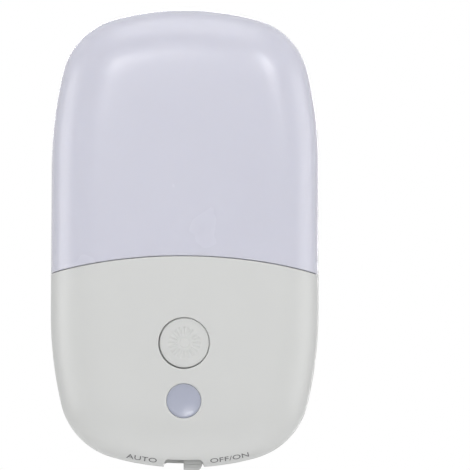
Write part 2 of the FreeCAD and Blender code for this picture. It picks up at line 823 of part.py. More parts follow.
# Reflector tray: a floor on the board of lamps, with a window round each lamp.
tray = body("tray")
tray_floor = led_board_front + d.tray_wall
tray_profile = sketch(tray, "XZ_Plane", 0, 0, led_board_front)
upper_outline(tray_profile, d.tray_bottom, d.tray_margin)
pad(tray, tray_profile, d.tray_depth)
room_profile = sketch(tray, "XZ_Plane", 0, 0, led_board_front + d.tray_depth)
upper_outline(room_profile, d.tray_bottom + d.tray_wall, d.tray_margin - d.tray_wall)
pocket(tray, room_profile, d.tray_depth - d.tray_wall, "room")
window_half = d.led_width / 2 + d.tray_window_gap
window_rise = d.led_height / 2 + d.tray_window_gap
tray_cuts = [block(f"tray_window_{i}", x - window_half, x + window_half, z - window_rise,
                   z + window_rise, led_board_front, tray_floor)
             for i, (x, z) in enumerate(LED_PLACES, 1)]
tray_cuts += [rod(f"tray_hole_{i}", x, z, led_board_front, tray_floor, d.led_screw_radius)
              for i, (x, z) in enumerate(LED_SCREWS, 1)]
reflector_tray = cut("reflector_tray", tray, tray_cuts)


def screw(name, x, z, head, head_radius, shank, shank_radius):
    """A screw whose head and shank each run from one depth to another."""
    return fuse(name, [rod(f"{name}_head", x, z, *head, head_radius),
                       rod(f"{name}_shank", x, z, *shank, shank_radius)])


housing_screws = group("housing_screws", [
    screw(f"housing_screw_{i}", x, z, (screw_head - d.screw_head_height, screw_head),
          d.screw_head_radius, (screw_head, screw_tip), d.screw_radius)
    for i, (x, z) in enumerate(SCREWS, 1)])
led_board_screws = group("led_board_screws", [
    screw(f"led_screw_{i}", x, z, (tray_floor, tray_floor + d.led_screw_head_height),
          d.led_screw_head_radius, (led_screw_tip, tray_floor), d.led_screw_radius)
    for i, (x, z) in enumerate(LED_SCREWS, 1)])

# Push button: cap in the cover's bore, flange behind the cover, stem on the plunger.
plunger_top = board_front + d.tact_thick + d.plunger_stand
flange_top = front_inner - d.running_gap
flange_bottom = flange_top - d.button_flange_thick
button_top = front_face - d.button_recess
button = body("push_button")
for level, radius, top, word in (
        (plunger_top, d.button_stem_radius, flange_bottom, "stem"),
        (flange_bottom, d.button_flange_radius, flange_top, "flange"),
        (flange_top, d.button_radius, button_top, "cap")):
    profile = sketch(button, "XZ_Plane", 0, d.button_z, level)
    circle(profile, 0, 0, radius)
    last_pad = pad(button, profile, top - level, word)
doc.recompute()
cap_edge = button.newObject("PartDesign::Chamfer", "push_button_edge")
cap_edge.Base = (last_pad, edges_at(last_pad.Shape, button_top.value))
cap_edge.Size = d.button_edge.value
bind(cap_edge, Size=d.button_edge)
ray = sketch(button, "XZ_Plane", 0, d.button_z, button_top)
rectangle(ray, -d.ray_width / 2, d.ray_width / 2, d.ray_inner, d.ray_outer)
ray_cut = pocket(button, ray, d.ray_depth, "ray")
doc.recompute()
rays = button.newObject("PartDesign::PolarPattern", "push_button_rays")
rays.Originals = [ray_cut]
rays.Axis = (ray, ["N_Axis"])
rays.Angle = 360
rays.Occurrences = int(d.ray_count.value)
bind(rays, Occurrences=d.ray_count)
button.Tip = rays
hub = sketch(button, "XZ_Plane", 0, d.button_z, button_top)
circle(hub, 0, 0, d.hub_radius)
doc.recompute()
pocket(button, hub, d.ray_depth, "hub")
push_button = button

# Push switch on the main board, and its plunger.
tact_top = board_front + d.tact_thick
tact = block("tact_case", -d.tact_half, d.tact_half, d.button_z - d.tact_half,
             d.button_z + d.tact_half, board_front, tact_top)
plunger_foot = tact_top - d.plunger_root
tact_switch_body = cut("tact_switch_body", tact,
                       [rod("tact_bore", zero, d.button_z, plunger_foot - d.plunger_room,
                            tact_top, d.plunger_radius + d.running_gap)])
tact_plunger = rod("tact_plunger", zero, d.button_z, plunger_foot, plunger_top,
                   d.plunger_radius)

# Light sensor: window in the cover, sleeve behind it, cell on its two legs.
window_foot = front_inner - d.window_flange_thick
sensor_window = fuse("sensor_window", [
    rod("window_flange", zero, d.sensor_z, window_foot, front_inner,
        d.window_flange_radius),
    rod("window_lens", zero, d.sensor_z, window_foot, front_face - d.window_recess,
        d.window_radius)])
photocell_sleeve = cut("photocell_sleeve",
                       rod("sleeve_bar", zero, d.sensor_z, board_front, window_foot,
                           d.sleeve_radius),
                       [rod("sleeve_room", zero, d.sensor_z, board_front, window_foot,
                            d.sleeve_bore)])
cell_foot = board_front + d.cell_stand
half_leg = d.cell_leg_thick / 2
photocell = fuse("photocell", [
    rod("cell_disc", zero, d.sensor_z, cell_foot, cell_foot + d.cell_thick, d.cell_radius)] + [
    block(f"cell_leg_{i}", x - half_leg, x + half_leg, d.sensor_z - half_leg,
          d.sensor_z + half_leg, board_front, cell_foot)
    for i, x in enumerate((-d.cell_leg_half, d.cell_leg_half), 1)])

# Slide switch: can, lever and knob. The knob rests at the right end of its travel.
half_travel = d.slide_travel / 2
lever_back = board_front + d.lever_stand
lever_front = lever_back + d.lever_thick
lever_left = half_travel - d.lever_half
lever_right = half_travel + d.lever_half
can_solid = block("can_solid", -d.can_half, d.can_half, d.can_bottom,
                  d.can_bottom + d.can_height, board_front, board_front + d.can_thick)
lever_way = half_travel + d.lever_half + d.lever_room
can_room = block("can_room", -lever_way, lever_way, d.can_bottom,
                 d.lever_top + d.lever_room, lever_back - d.running_gap,
                 lever_front + d.running_gap)
slide_switch_body = cut("slide_switch_body", can_solid, [can_room])
slide_lever = block("slide_lever", lever_left, lever_right, d.lever_bottom, d.lever_top,
                    lever_back, lever_front)

knob = body("knob_body")
tab = sketch(knob, "XZ_Plane", half_travel, 0, d.tab_back)
shield_bottom = d.shield_top - d.shield_thick
polygon(tab, [(-d.tab_half, d.tab_bottom), (d.tab_half - d.tab_slope_width, d.tab_bottom),
              (d.tab_half, d.tab_bottom + d.tab_slope_height), (d.tab_half, shield_bottom),
              (-d.tab_half, shield_bottom)])
tab_pad = pad(knob, tab, d.tab_front - d.tab_back, "tab")
doc.recompute()
foot_corner = [f"Edge{i}" for i, edge in enumerate(tab_pad.Shape.Edges, 1)
               if all(abs(v.X - (half_travel - d.tab_half).value) < 1e-6
                      and abs(v.Z - d.tab_bottom.value) < 1e-6 for v in edge.Vertexes)]
round_edges(knob, tab_pad, foot_corner, d.tab_corner, "foot_corner")
shield = sketch(knob, "XZ_Plane", half_travel, 0, d.shield_back)
rectangle(shield, -d.shield_half, d.shield_half, shield_bottom, d.shield_top)
pad(knob, shield, d.shield_front - d.shield_back, "shield")
socket = block("knob_socket", lever_left, lever_right, d.lever_bottom, d.shield_top,
               lever_back, lever_front)
ridge_step = d.ridge_pitch
knob_cuts = [socket]
for i in range(int(d.ridge_count.value)):
    ridge_z = d.tab_bottom + d.tab_slope_height + ridge_step * (i - 1)
    knob_cuts.append(block(f"knob_ridge_{i + 1}", half_travel - d.tab_half,
                           half_travel + d.tab_half, ridge_z, ridge_z + ridge_step / 2,
                           d.tab_front - d.ridge_depth, d.tab_front))
slide_knob = cut("slide_knob", knob, knob_cuts)

# Each stands a margin in from the side edge of the main board.
bridge_x = d.bridge_margin - board_half
disc_x = d.disc_margin - board_half
chip_x = d.chip_margin - board_half
fuse_x = board_half - d.fuse_margin

# Components on the back of the main board, which stand away from it towards the wall.
board_back = d.board_depth
film = body("film_capacitor")
film_profile = sketch(film, "XZ_Plane", d.film_x, d.film_z, board_back - d.film_thick)
rounded(film_profile, d.film_width / 2, d.film_height / 2, d.film_edge)
pad(film, film_profile, d.film_thick)
film_capacitor = film
smoothing_capacitor = bar("smoothing_capacitor", d.can_cap_x, d.can_cap_x + d.can_cap_length,
                          d.can_cap_z, board_back - d.can_cap_radius, d.can_cap_radius)
bridge_rectifier = block("bridge_rectifier", bridge_x - d.bridge_width / 2,
                         bridge_x + d.bridge_width / 2, d.bridge_z - d.bridge_height / 2,
                         d.bridge_z + d.bridge_height / 2, board_back - d.bridge_thick,
                         board_back)
fuse_depth = board_back - d.fuse_radius
fuse_resistor = post("fuse_resistor", fuse_x, fuse_depth, d.fuse_z - d.fuse_length / 2,
                     d.fuse_z + d.fuse_length / 2, d.fuse_radius)
varistor = post("varistor", disc_x, board_back - d.disc_radius, d.disc_z - d.disc_thick / 2,
                d.disc_z + d.disc_thick / 2, d.disc_radius)

# Driver chip on the front of the main board, with four leads on each side.
chip_parts = [block("chip_case", chip_x - d.chip_width / 2, chip_x + d.chip_width / 2,
                    d.chip_z - d.chip_height / 2, d.chip_z + d.chip_height / 2,
                    board_front + d.chip_lead_thick / 2, board_front + d.chip_thick)]
for i in range(4):
    lead_z = d.chip_z + (i - 1.5) * d.chip_lead_pitch
    reach = d.chip_width / 2 + d.chip_lead_reach
    chip_parts.append(block(f"chip_lead_{i + 1}", chip_x - reach, chip_x + reach,
                            lead_z - d.chip_lead_width / 2, lead_z + d.chip_lead_width / 2,
                            board_front, board_front + d.chip_lead_thick))
driver_chip = fuse("driver_chip", chip_parts)

PIECES = {
    "rear_housing": rear_housing,
    "diffuser": diffuser,
    "front_cover": front_cover,
    "sensor_window": sensor_window,
    "plug_insert": plug_insert,
    "line_blade": line_blade,
    "neutral_blade": neutral_blade,
    "main_board": main_board,
    "led_board": led_board,
    "leds": leds,
    "reflector_tray": reflector_tray,
    "board_header": board_header,
    "film_capacitor": film_capacitor,
    "smoothing_capacitor": smoothing_capacitor,
    "bridge_rectifier": bridge_rectifier,
    "fuse_resistor": fuse_resistor,
    "driver_chip": driver_chip,
    "varistor": varistor,
    "photocell": photocell,
    "photocell_sleeve": photocell_sleeve,
    "tact_switch_body": tact_switch_body,
    "tact_plunger": tact_plunger,
    "push_button": push_button,
    "slide_switch_body": slide_switch_body,
    "slide_lever": slide_lever,
    "slide_knob": slide_knob,
    "housing_screws": housing_screws,
    "led_board_screws": led_board_screws,
}

doc.recompute()
for item in doc.Objects:
    if "Invalid" in item.State or "Error" in item.State:
        raise RuntimeError(f"{item.Name} failed: {item.State}")
os.makedirs("parts", exist_ok=True)
for name, item in PIECES.items():
    item.Label = name
    shape = item.Shape
    if shape.isNull() or not shape.isValid() or shape.Volume <= 0:
        raise RuntimeError(f"{name} has no valid shape")
for name, item in PIECES.items():
    item.Shape.exportStep(f"parts/{name}.step")
    print(f"{name}: {len(item.Shape.Solids)} solid, {item.Shape.Volume:.1f} mm3")
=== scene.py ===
import logging
import math
from collections.abc import Iterable
from dataclasses import dataclass
from enum import Enum
from typing import Any, ClassVar

import bmesh
import bpy
import numpy as np
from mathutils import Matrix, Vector
from mathutils.geometry import delaunay_2d_cdt


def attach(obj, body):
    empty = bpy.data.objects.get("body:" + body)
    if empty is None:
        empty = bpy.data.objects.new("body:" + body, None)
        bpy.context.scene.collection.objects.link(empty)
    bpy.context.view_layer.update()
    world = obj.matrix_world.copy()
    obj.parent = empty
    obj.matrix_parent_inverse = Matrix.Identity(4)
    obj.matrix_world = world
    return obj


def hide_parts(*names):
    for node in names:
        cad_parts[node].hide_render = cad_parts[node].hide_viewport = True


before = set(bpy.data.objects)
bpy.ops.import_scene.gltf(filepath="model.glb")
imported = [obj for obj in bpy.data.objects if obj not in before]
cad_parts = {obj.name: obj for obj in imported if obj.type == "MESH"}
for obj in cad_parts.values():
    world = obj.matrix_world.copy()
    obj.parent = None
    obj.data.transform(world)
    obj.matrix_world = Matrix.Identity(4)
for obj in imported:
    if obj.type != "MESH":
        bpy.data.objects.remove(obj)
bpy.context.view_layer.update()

logging.basicConfig(level=logging.INFO, format="%(message)s")
LOG = logging.getLogger("night_light")

# Metres in a millimetre. Sizes are in millimetres unless their text says otherwise.
MM = 0.001
# Metres within which the points of neighbouring patches are welded.
WELD = 1.5e-6
# How near to a row or circle a position counts as lying on it.
ON_ROW, ON_CIRCLE = 1e-3, 2e-3
# Radius of the small flat face that closes a turned cap.
POLE = 0.02
# Points round a hole of the skin, and round a screw well.
HOLE_POINTS, WELL_POINTS = 96, 64
# Turns along every small rounded edge.
ROUND = np.radians(np.linspace(0, 90, 5))
# Signs that turn a plan position over, left for right and top for bottom.
OVER_X, OVER_Z = np.array([-1.0, 1.0]), np.array([1.0, -1.0])
# Distances from the axis at which the bottom edge is sampled round the scallop.
SCALLOP_ENDS = np.array([5.4, 5.0, 4.8, 4.6, 4.4, 4.15, 3.8, 3.4, 2.6, 1.3, 0.0])


class Side(Enum):
    """Which part of the front shell a skin belongs to."""

    BELOW_SEAM = -1
    ABOVE_SEAM = 1


# Finishes


def set_inputs(node: bpy.types.Node, values: dict[str, Any]) -> None:
    """Sets a shader node's inputs to plain values, by their names."""
    for name, value in values.items():
        node.inputs[name].default_value = value


@dataclass(frozen=True)
class Finish:
    """A procedural finish: two close tones, a roughness and a fine relief.

    Attributes:
        name: Name of the material.
        colour: Linear red, green and blue of the main tone.
        roughness: Roughness of the surface, 0 to 1.
        grain: Size of one grain of the relief.
        relief: Height of the relief.
        drift: Share by which the second tone is darker.
        patch: Size of one patch of the second tone.
        metallic: 1 for bare metal, 0 otherwise.
        scatter: Weight of the light that scatters under the surface.
        reach: How far that light travels.
        gloss: Strength of the highlights, 0.5 for common plastic.
        sparkle: Spread of roughness between the two tones.
    """

    name: str
    colour: tuple[float, float, float]
    roughness: float = 0.4
    grain: float = 0.2
    relief: float = 0.004
    drift: float = 0.02
    patch: float = 9.0
    metallic: float = 0.0
    scatter: float = 0.0
    reach: float = 1.0
    gloss: float = 0.5
    sparkle: float = 0.05

    def material(self) -> bpy.types.Material:
        """Builds the nodes: coarse noise drives tone and roughness, fine noise the relief.

        Returns:
            The material, made once for each name.
        """
        label = f"finish_{self.name}"
        made = bpy.data.materials.get(label)
        if made is not None:
            return made
        made = bpy.data.materials.new(label)
        made.use_nodes = True
        nodes = made.node_tree.nodes
        shader = nodes["Principled BSDF"]
        place, patches, grains, tones, sheen, bump = (
            nodes.new("ShaderNode" + kind)
            for kind in ("TexCoord", "TexNoise", "TexNoise", "ValToRGB", "MapRange", "Bump"))
        set_inputs(patches, {"Scale": 1.0 / (self.patch * MM), "Detail": 3.0})
        set_inputs(grains, {"Scale": 1.0 / (self.grain * MM), "Detail": 2.0})
        set_inputs(sheen, {"To Min": self.roughness - self.sparkle,
                           "To Max": self.roughness + self.sparkle})
        set_inputs(bump, {"Strength": 1.0, "Distance": self.relief * MM})
        dark = tuple(c * (1 - self.drift) for c in self.colour)
        stops = tones.color_ramp.elements
        for stop, position, tone in zip(stops, (0.35, 0.65), (dark, self.colour)):
            stop.position = position
            stop.color = (*tone, 1.0)
        for source, output, target, socket in (
                (place, "Object", patches, "Vector"), (place, "Object", grains, "Vector"),
                (patches, "Fac", tones, "Fac"), (tones, "Color", shader, "Base Color"),
                (patches, "Fac", sheen, "Value"), (sheen, "Result", shader, "Roughness"),
                (grains, "Fac", bump, "Height"), (bump, "Normal", shader, "Normal")):
            made.node_tree.links.new(source.outputs[output], target.inputs[socket])
        set_inputs(shader, {"Metallic": self.metallic, "Specular IOR Level": self.gloss})
        if self.scatter:
            set_inputs(shader, {"Subsurface Weight": self.scatter,
                                "Subsurface Radius": (1.0, 0.95, 0.9),
                                "Subsurface Scale": self.reach * MM})
        return made


@dataclass(frozen=True)
class Finishes:
    """Every finish of the night light."""

    shell: Finish = Finish("white_shell", (0.566, 0.572, 0.564), roughness=0.42, grain=0.16,
                           relief=0.0022, drift=0.012, patch=14.0, scatter=0.12, reach=0.6)
    diffuser: Finish = Finish("diffuser", (0.570, 0.572, 0.651), roughness=0.26,
                              relief=0.0018, drift=0.010, patch=20.0, scatter=0.45, reach=2.5,
                              gloss=0.36)
    window: Finish = Finish("sensor_window", (0.395, 0.415, 0.505), roughness=0.22, grain=0.3,
                            relief=0.001, drift=0.03, patch=4.0, scatter=0.3, reach=0.8)
    insert: Finish = Finish("insert", (0.575, 0.580, 0.572), roughness=0.48, drift=0.03)
    blades: Finish = Finish("blades", (0.660, 0.640, 0.590), roughness=0.24, grain=0.12,
                            relief=0.0015, drift=0.08, patch=2.5, metallic=1.0)
    board: Finish = Finish("board", (0.035, 0.165, 0.060), roughness=0.35, grain=0.5,
                           relief=0.006, drift=0.35, patch=3.0)
    lamps: Finish = Finish("lamps", (0.800, 0.640, 0.220), roughness=0.3, relief=0.003,
                           drift=0.1, patch=1.0, scatter=0.3, reach=0.4)
    reflector: Finish = Finish("reflector", (0.780, 0.785, 0.780), roughness=0.3, grain=0.3,
                               relief=0.002)
    black: Finish = Finish("black_plastic", (0.022, 0.022, 0.024), roughness=0.45, grain=0.15,
                           relief=0.006, drift=0.3)
    film: Finish = Finish("film", (0.420, 0.070, 0.035), roughness=0.3, grain=0.4,
                          relief=0.006, drift=0.2)
    sleeve: Finish = Finish("sleeve", (0.050, 0.050, 0.052), roughness=0.6, relief=0.01,
                            drift=0.25)
    blue: Finish = Finish("blue_disc", (0.030, 0.110, 0.330), roughness=0.3, grain=0.4,
                          relief=0.01, drift=0.2)
    resistor: Finish = Finish("resistor", (0.190, 0.290, 0.200), roughness=0.45, relief=0.01,
                              drift=0.2)
    cell: Finish = Finish("cell", (0.520, 0.300, 0.160), roughness=0.3, relief=0.005,
                          drift=0.3, patch=1.0)
    switch: Finish = Finish("switch_metal", (0.560, 0.560, 0.550), roughness=0.3,
                            relief=0.003, drift=0.1, metallic=1.0)
    screws: Finish = Finish("screws", (0.480, 0.485, 0.490), roughness=0.28, grain=0.15,
                            drift=0.12, patch=1.5, metallic=1.0)
    ink: Finish = Finish("ink", (0.100, 0.100, 0.105), roughness=0.6, grain=0.1,
                         relief=0.002, drift=0.1, patch=2.0)


# Points and rows


def across(x: np.ndarray, z: np.ndarray, depth: np.ndarray | float) -> np.ndarray:
    """Stacks plan positions and depths in front of the wall into points.

    Args:
        x: Distances to the right.
        z: Heights.
        depth: Distances in front of the wall.

    Returns:
        Array of points, with y as minus the depth.
    """
    x, z, depth = np.broadcast_arrays(x, z, depth)
    return np.stack([x, -depth, z], -1)


def lay(plan: np.ndarray, depth: np.ndarray | float) -> np.ndarray:
    """Puts plan positions at their depths, or all at one depth, as points."""
    return across(plan[..., 0], plan[..., 1], depth)


def sections(plans: Iterable[np.ndarray], depths: Iterable[float]) -> np.ndarray:
    """Lays loops of n positions at their depths, as a grid of n by rows by 3 points."""
    return np.stack([lay(plan, depth) for plan, depth in zip(plans, depths)], 1)


def ring(x: float, z: float, radius: float, count: int) -> np.ndarray:
    """Gives a circle in plan: centre plus radius times cosine and sine of the angle.

    Args:
        x: Centre to the right.
        z: Centre height.
        radius: Radius of the circle.
        count: How many points it has.

    Returns:
        Array of count by 2 positions.
    """
    turn = np.arange(count) * (2 * np.pi / count)
    return np.stack([x + radius * np.cos(turn), z + radius * np.sin(turn)], -1)


def turned(radii: np.ndarray, depths: np.ndarray, x: float, z: float, count: int) -> np.ndarray:
    """Turns a profile about an axis that stands square on the wall.

    A point is the axis plus its radius times the cosine and sine of the angle.

    Args:
        radii: Radii of the profile's rows.
        depths: Depths of the rows, or an array of count by rows of them.
        x: The axis to the right.
        z: Height of the axis.
        count: How many columns it has.

    Returns:
        Array of count by rows by 3 points.
    """
    turn = np.arange(count)[:, None] * (2 * np.pi / count)
    return across(x + radii * np.cos(turn), z + radii * np.sin(turn), depths)


def unit(vectors: np.ndarray) -> np.ndarray:
    """Scales the vectors of the last axis to a length of one."""
    return vectors / np.maximum(np.linalg.norm(vectors, axis=-1, keepdims=True), 1e-9)


def square_to(vectors: np.ndarray, axes: np.ndarray) -> np.ndarray:
    """Takes from each vector its part along its own axis of length one."""
    return vectors - (vectors * axes).sum(-1, keepdims=True) * axes


def triangulate(loops: list[np.ndarray], extra: np.ndarray) -> tuple[np.ndarray, np.ndarray]:
    """Triangulates plan positions so that the loops' spans are edges.

    Args:
        loops: Closed loops of positions.
        extra: More positions to use.

    Returns:
        The positions, with any that were added, and the triangles.
    """
    points = np.concatenate(loops + [extra])
    edges, start = [], 0
    for one in loops:
        index = np.arange(len(one)) + start
        edges += np.stack([index, np.roll(index, -1)], -1).tolist()
        start += len(one)
    made = delaunay_2d_cdt([Vector(p) for p in points.tolist()], edges, [], 0, 1e-7)
    return np.array([tuple(p) for p in made[0]]), np.array([f for f in made[2] if len(f) == 3])


def follow(plan: np.ndarray, moved: np.ndarray, old: np.ndarray, new: np.ndarray) -> None:
    """Moves the positions that lie on one row to the same places of another.

    Args:
        plan: Positions that are compared with the old row.
        moved: The same positions as they are to be, changed in place.
        old: Row that they are compared with.
        new: Row that takes its place.
    """
    gap = np.abs(plan[:, None] - old[None]).sum(-1)
    hit = gap.min(1) < ON_ROW
    moved[hit] = new[gap.argmin(1)[hit]]


def resize(plan: np.ndarray, moved: np.ndarray, centre: tuple[float, float], old: float,
           new: float) -> None:
    """Moves the positions that lie on a circle to one of another radius.

    Args:
        plan: Positions that are compared with the circle.
        moved: The same positions as they are to be, changed in place.
        centre: Centre of both circles.
        old: Radius of the first circle.
        new: Radius of the second.
    """
    arm = plan - np.array(centre)
    hit = np.abs(np.hypot(*arm.T) - old) < ON_CIRCLE
    moved[hit] = np.array(centre) + arm[hit] * new / old


def lattice(step: float) -> np.ndarray:
    """Gives positions in staggered rows over the whole face.

    Args:
        step: Distance between neighbours.

    Returns:
        Array of n by 2 positions.
    """
    x, z = np.meshgrid(np.arange(-31, 31, step), np.arange(-25, 81, step * 0.866))
    x = x + (np.arange(z.shape[0]) % 2)[:, None] * step / 2
    return np.stack([x.ravel(), z.ravel()], -1)


def rounded_box(half_x: float, half_z: float, radius: float, gap: float = 0.0) -> np.ndarray:
    """Gives a rounded rectangle about the origin, from corner to corner.

    Args:
        half_x: Half its width.
        half_z: Half its height.
        radius: Radius of its corners.
        gap: How far outside it the loop runs.

    Returns:
        Array of n by 2 positions.
    """
    turn = np.linspace(0, np.pi / 2, 9)
    arc = (radius + gap) * np.stack([np.cos(turn), np.sin(turn)], -1)
    first = np.array([half_x - radius, half_z - radius]) + arc
    second = first[::-1] * OVER_X
    return np.concatenate([first, second, -first, -second])


def beyond_box(plan: np.ndarray, half_x: float, half_z: float, radius: float) -> np.ndarray:
    """Measures how far plan positions lie outside a rounded rectangle about the origin.

    Args:
        plan: Array of n by 2 positions.
        half_x: Half the rectangle's width.
        half_z: Half its height.
        radius: Radius of its corners.

    Returns:
        Array of n distances, less than 0 inside.
    """
    over = np.maximum(np.abs(plan) - np.array([half_x, half_z]) + radius, 0)
    return np.hypot(*over.T) - radius


def scallop(place: np.ndarray, notch: tuple[float, float, float]) -> np.ndarray:
    """Gives the least distance in from the outline that the scallop leaves.

    Over its end length it is the height times the root of one less the square of the
    share of that length still to go.

    Args:
        place: Array of n by 2 positions on the outline.
        notch: Half width, height and end length of the scallop.

    Returns:
        Array of n distances, 0 beside the scallop and on the upper half.
    """
    half, height, run = notch
    share = np.clip((half - np.abs(place[:, 0])) / run, 0, 1)
    return np.where(place[:, 1] < 0, height * np.sqrt(1 - (1 - share) ** 2), 0)


# Mesh patches


class Patchwork:
    """Collects grids and faces in millimetres, and welds them into one mesh."""

    def __init__(self) -> None:
        """Starts with no patches."""
        self.points: list[np.ndarray] = []
        self.faces: list[list[int]] = []
        self.count = 0

    def add(self, points: np.ndarray, faces: np.ndarray) -> None:
        """Adds faces that index their own points.

        Args:
            points: Array of n by 3 positions.
            faces: Array of faces by the indices of their corners.
        """
        self.points.append(points)
        self.faces.extend((faces + self.count).tolist())
        self.count += len(points)

    def fan(self, loop: np.ndarray) -> None:
        """Closes a flat loop of points with one face."""
        self.add(loop, np.arange(len(loop))[None])

    def grid(self, points: np.ndarray, closed: bool = False,
             keep: np.ndarray | None = None) -> None:
        """Adds a grid of quads.

        Args:
            points: Array of columns by rows by 3 positions.
            closed: Whether the last column joins the first.
            keep: Array of spans by rows - 1 that is True where a quad stays.
        """
        if closed:
            points = np.concatenate([points, points[:1]])
        cols, rows = points.shape[:2]
        index = np.arange(cols * rows).reshape(cols, rows)
        quads = np.stack([index[:-1, :-1], index[1:, :-1], index[1:, 1:], index[:-1, 1:]], -1)
        if keep is not None:
            quads = quads[keep]
        self.add(points.reshape(-1, 3), quads.reshape(-1, 4))

    def capped(self, points: np.ndarray) -> None:
        """Adds a closed grid, and closes its first and last row.

        Args:
            points: Array of columns by rows by 3 positions.
        """
        self.grid(points, closed=True)
        self.fan(points[:, 0])
        self.fan(points[:, -1])

    def walls(self, outer: np.ndarray, inner: np.ndarray, held: np.ndarray, rows: int,
              closed: bool = False) -> None:
        """Adds two bands and the rim between their first rows, with a slot cut in them.

        Args:
            outer: Array of columns by rows by 3 points of the outer band.
            inner: The same of the inner band.
            held: Array that is True for each column in the slot.
            rows: How many spans down from the rim the slot reaches.
            closed: Whether the last column joins the first.
        """
        gap = held & np.roll(held, -1)
        keep = np.ones((len(outer), outer.shape[1] - 1), bool)
        keep[gap, :rows] = False
        if not closed:
            gap, keep = gap[:-1], keep[:-1]
        self.grid(outer, closed, keep)
        self.grid(inner, closed, keep)
        self.grid(np.stack([outer[:, 0], inner[:, 0]], 1), closed, ~gap[:, None])
        if held.any():
            first, last = np.flatnonzero(held)[[0, -1]]
            for column in (first, last):
                self.grid(np.stack([band[column, :rows + 1] for band in (outer, inner)], 1))
            self.grid(np.stack([band[first:last + 1, rows] for band in (outer, inner)], 1))

    def piece(self, name: str, finish: Finish, body: str = "housing",
              crease: float = 38.0) -> bpy.types.Object:
        """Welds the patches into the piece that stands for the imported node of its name.

        Args:
            name: Name of the new object and of the node.
            finish: The finish that it gets.
            body: The body that it rides on.
            crease: Angle in degrees above which an edge stays sharp.

        Returns:
            The new object, at the origin with its place in its mesh.
        """
        mesh = bpy.data.meshes.new(name)
        mesh.from_pydata((np.concatenate(self.points) * MM).tolist(), [], self.faces)
        made = bmesh.new()
        made.from_mesh(mesh)
        bmesh.ops.remove_doubles(made, verts=made.verts, dist=WELD)
        bmesh.ops.dissolve_degenerate(made, edges=made.edges, dist=1e-7)
        bmesh.ops.recalc_face_normals(made, faces=made.faces)
        open_edges = sum(1 for edge in made.edges if len(edge.link_faces) != 2)
        made.to_mesh(mesh)
        made.free()
        mesh.shade_smooth()
        mesh.set_sharp_from_angle(angle=math.radians(crease))
        mesh.materials.append(finish.material())
        item = bpy.data.objects.new(name, mesh)
        bpy.context.scene.collection.objects.link(item)
        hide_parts(name)
        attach(item, body)
        LOG.info("%s: %d faces, %d open edges", name, len(mesh.polygons), open_edges)
        return item


# Outline and crown


@dataclass(frozen=True)
class Outline:
    """The body seen from the front: straight sides, then shoulder, corner and end arcs.

    Attributes:
        width: Width of the body.
        height: Height of the body.
        middle: Height of its middle above the blades' centre.
        straight: Length of each straight side.
        shoulder: Radius of the arcs next to the sides.
        corner: Radius of the corners.
        end: Radius of the top and bottom arcs.
    """

    width: float = 60.96
    height: float = 104.0
    middle: float = 28.0
    straight: float = 33.4
    shoulder: float = 89.8
    corner: float = 16.6
    end: float = 60.6

    def centres(self) -> tuple[np.ndarray, np.ndarray, np.ndarray, float, float]:
        """Finds the arcs of the upper right quarter about the middle.

        The corner's centre lies where circles of the other two radii less its own,
        about their centres, cross.

        Returns:
            Centres of the shoulder, corner and end arcs, and the angles where the
            shoulder meets the corner and the corner meets the end.
        """
        first = np.array([self.width / 2 - self.shoulder, self.straight / 2])
        third = np.array([0.0, self.height / 2 - self.end])
        reach_1, reach_3 = self.shoulder - self.corner, self.end - self.corner
        span = float(np.linalg.norm(third - first))
        toward = (third - first) / span
        along = (reach_1**2 - reach_3**2 + span**2) / (2 * span)
        rise = math.sqrt(reach_1**2 - along**2) * np.array([toward[1], -toward[0]])
        second = max((first + toward * along + rise, first + toward * along - rise),
                     key=lambda p: float(p.sum()))
        low = math.atan2(*(second - first)[::-1])
        high = math.atan2(*(second - third)[::-1])
        return first, second, third, low, high

    def quarter(self, counts: tuple[int, int], ends: np.ndarray) -> tuple[np.ndarray, np.ndarray]:
        """Samples the upper right quarter from the side to the axis.

        A point is its arc's centre plus radius times the unit normal at its angle.

        Args:
            counts: How many spans the shoulder and the corner have.
            ends: Distances from the axis of the points on the end arc, falling to 0.

        Returns:
            Positions about the middle, and their outward unit normals.
        """
        first, second, third, low, high = self.centres()
        start = self.end * math.cos(high)
        turn = np.concatenate([np.linspace(0, low, counts[0], endpoint=False),
                               np.linspace(low, high, counts[1], endpoint=False),
                               [high], np.arccos(ends[ends < start - 1e-6] / self.end)])
        normal = np.stack([np.cos(turn), np.sin(turn)], -1)
        on_shoulder, on_corner = turn < low, turn < high
        centre = np.where(on_shoulder[:, None], first, np.where(on_corner[:, None], second, third))
        radius = np.where(on_shoulder, self.shoulder, np.where(on_corner, self.corner, self.end))
        return centre + radius[:, None] * normal, normal

    def loop(self, ends: np.ndarray) -> tuple[np.ndarray, np.ndarray]:
        """Samples the whole outline, from the right side down and round.

        Args:
            ends: Distances from the axis of the points on the end arcs, falling to 0.

        Returns:
            Positions, and their outward unit normals.
        """
        place, normal = (np.concatenate([one * OVER_Z, -one[-2::-1], one[:-1] * OVER_X,
                                         one[:0:-1]])
                         for one in self.quarter((12, 24), ends))
        return place + np.array([0.0, self.middle]), normal

    def inside(self, x: np.ndarray, z: np.ndarray) -> np.ndarray:
        """Measures how far plan positions lie inside the outline.

        Args:
            x: Distances to the right.
            z: Heights.

        Returns:
            The least distance to the outline, exact where it is under about 15 mm.
        """
        first, second, third, low, high = self.centres()
        u, v = np.abs(x), np.abs(z - self.middle)
        best = np.where(v <= self.straight / 2, self.width / 2 - u, self.height)
        for centre, radius, start, stop in ((first, self.shoulder, 0.0, low),
                                            (second, self.corner, low, high),
                                            (third, self.end, high, np.pi / 2)):
            turn = np.arctan2(v - centre[1], u - centre[0])
            held = (turn >= start - 1e-9) & (turn <= stop + 1e-9)
            gap = radius - np.hypot(u - centre[0], v - centre[1])
            best = np.where(held, np.minimum(best, gap), best)
        return best


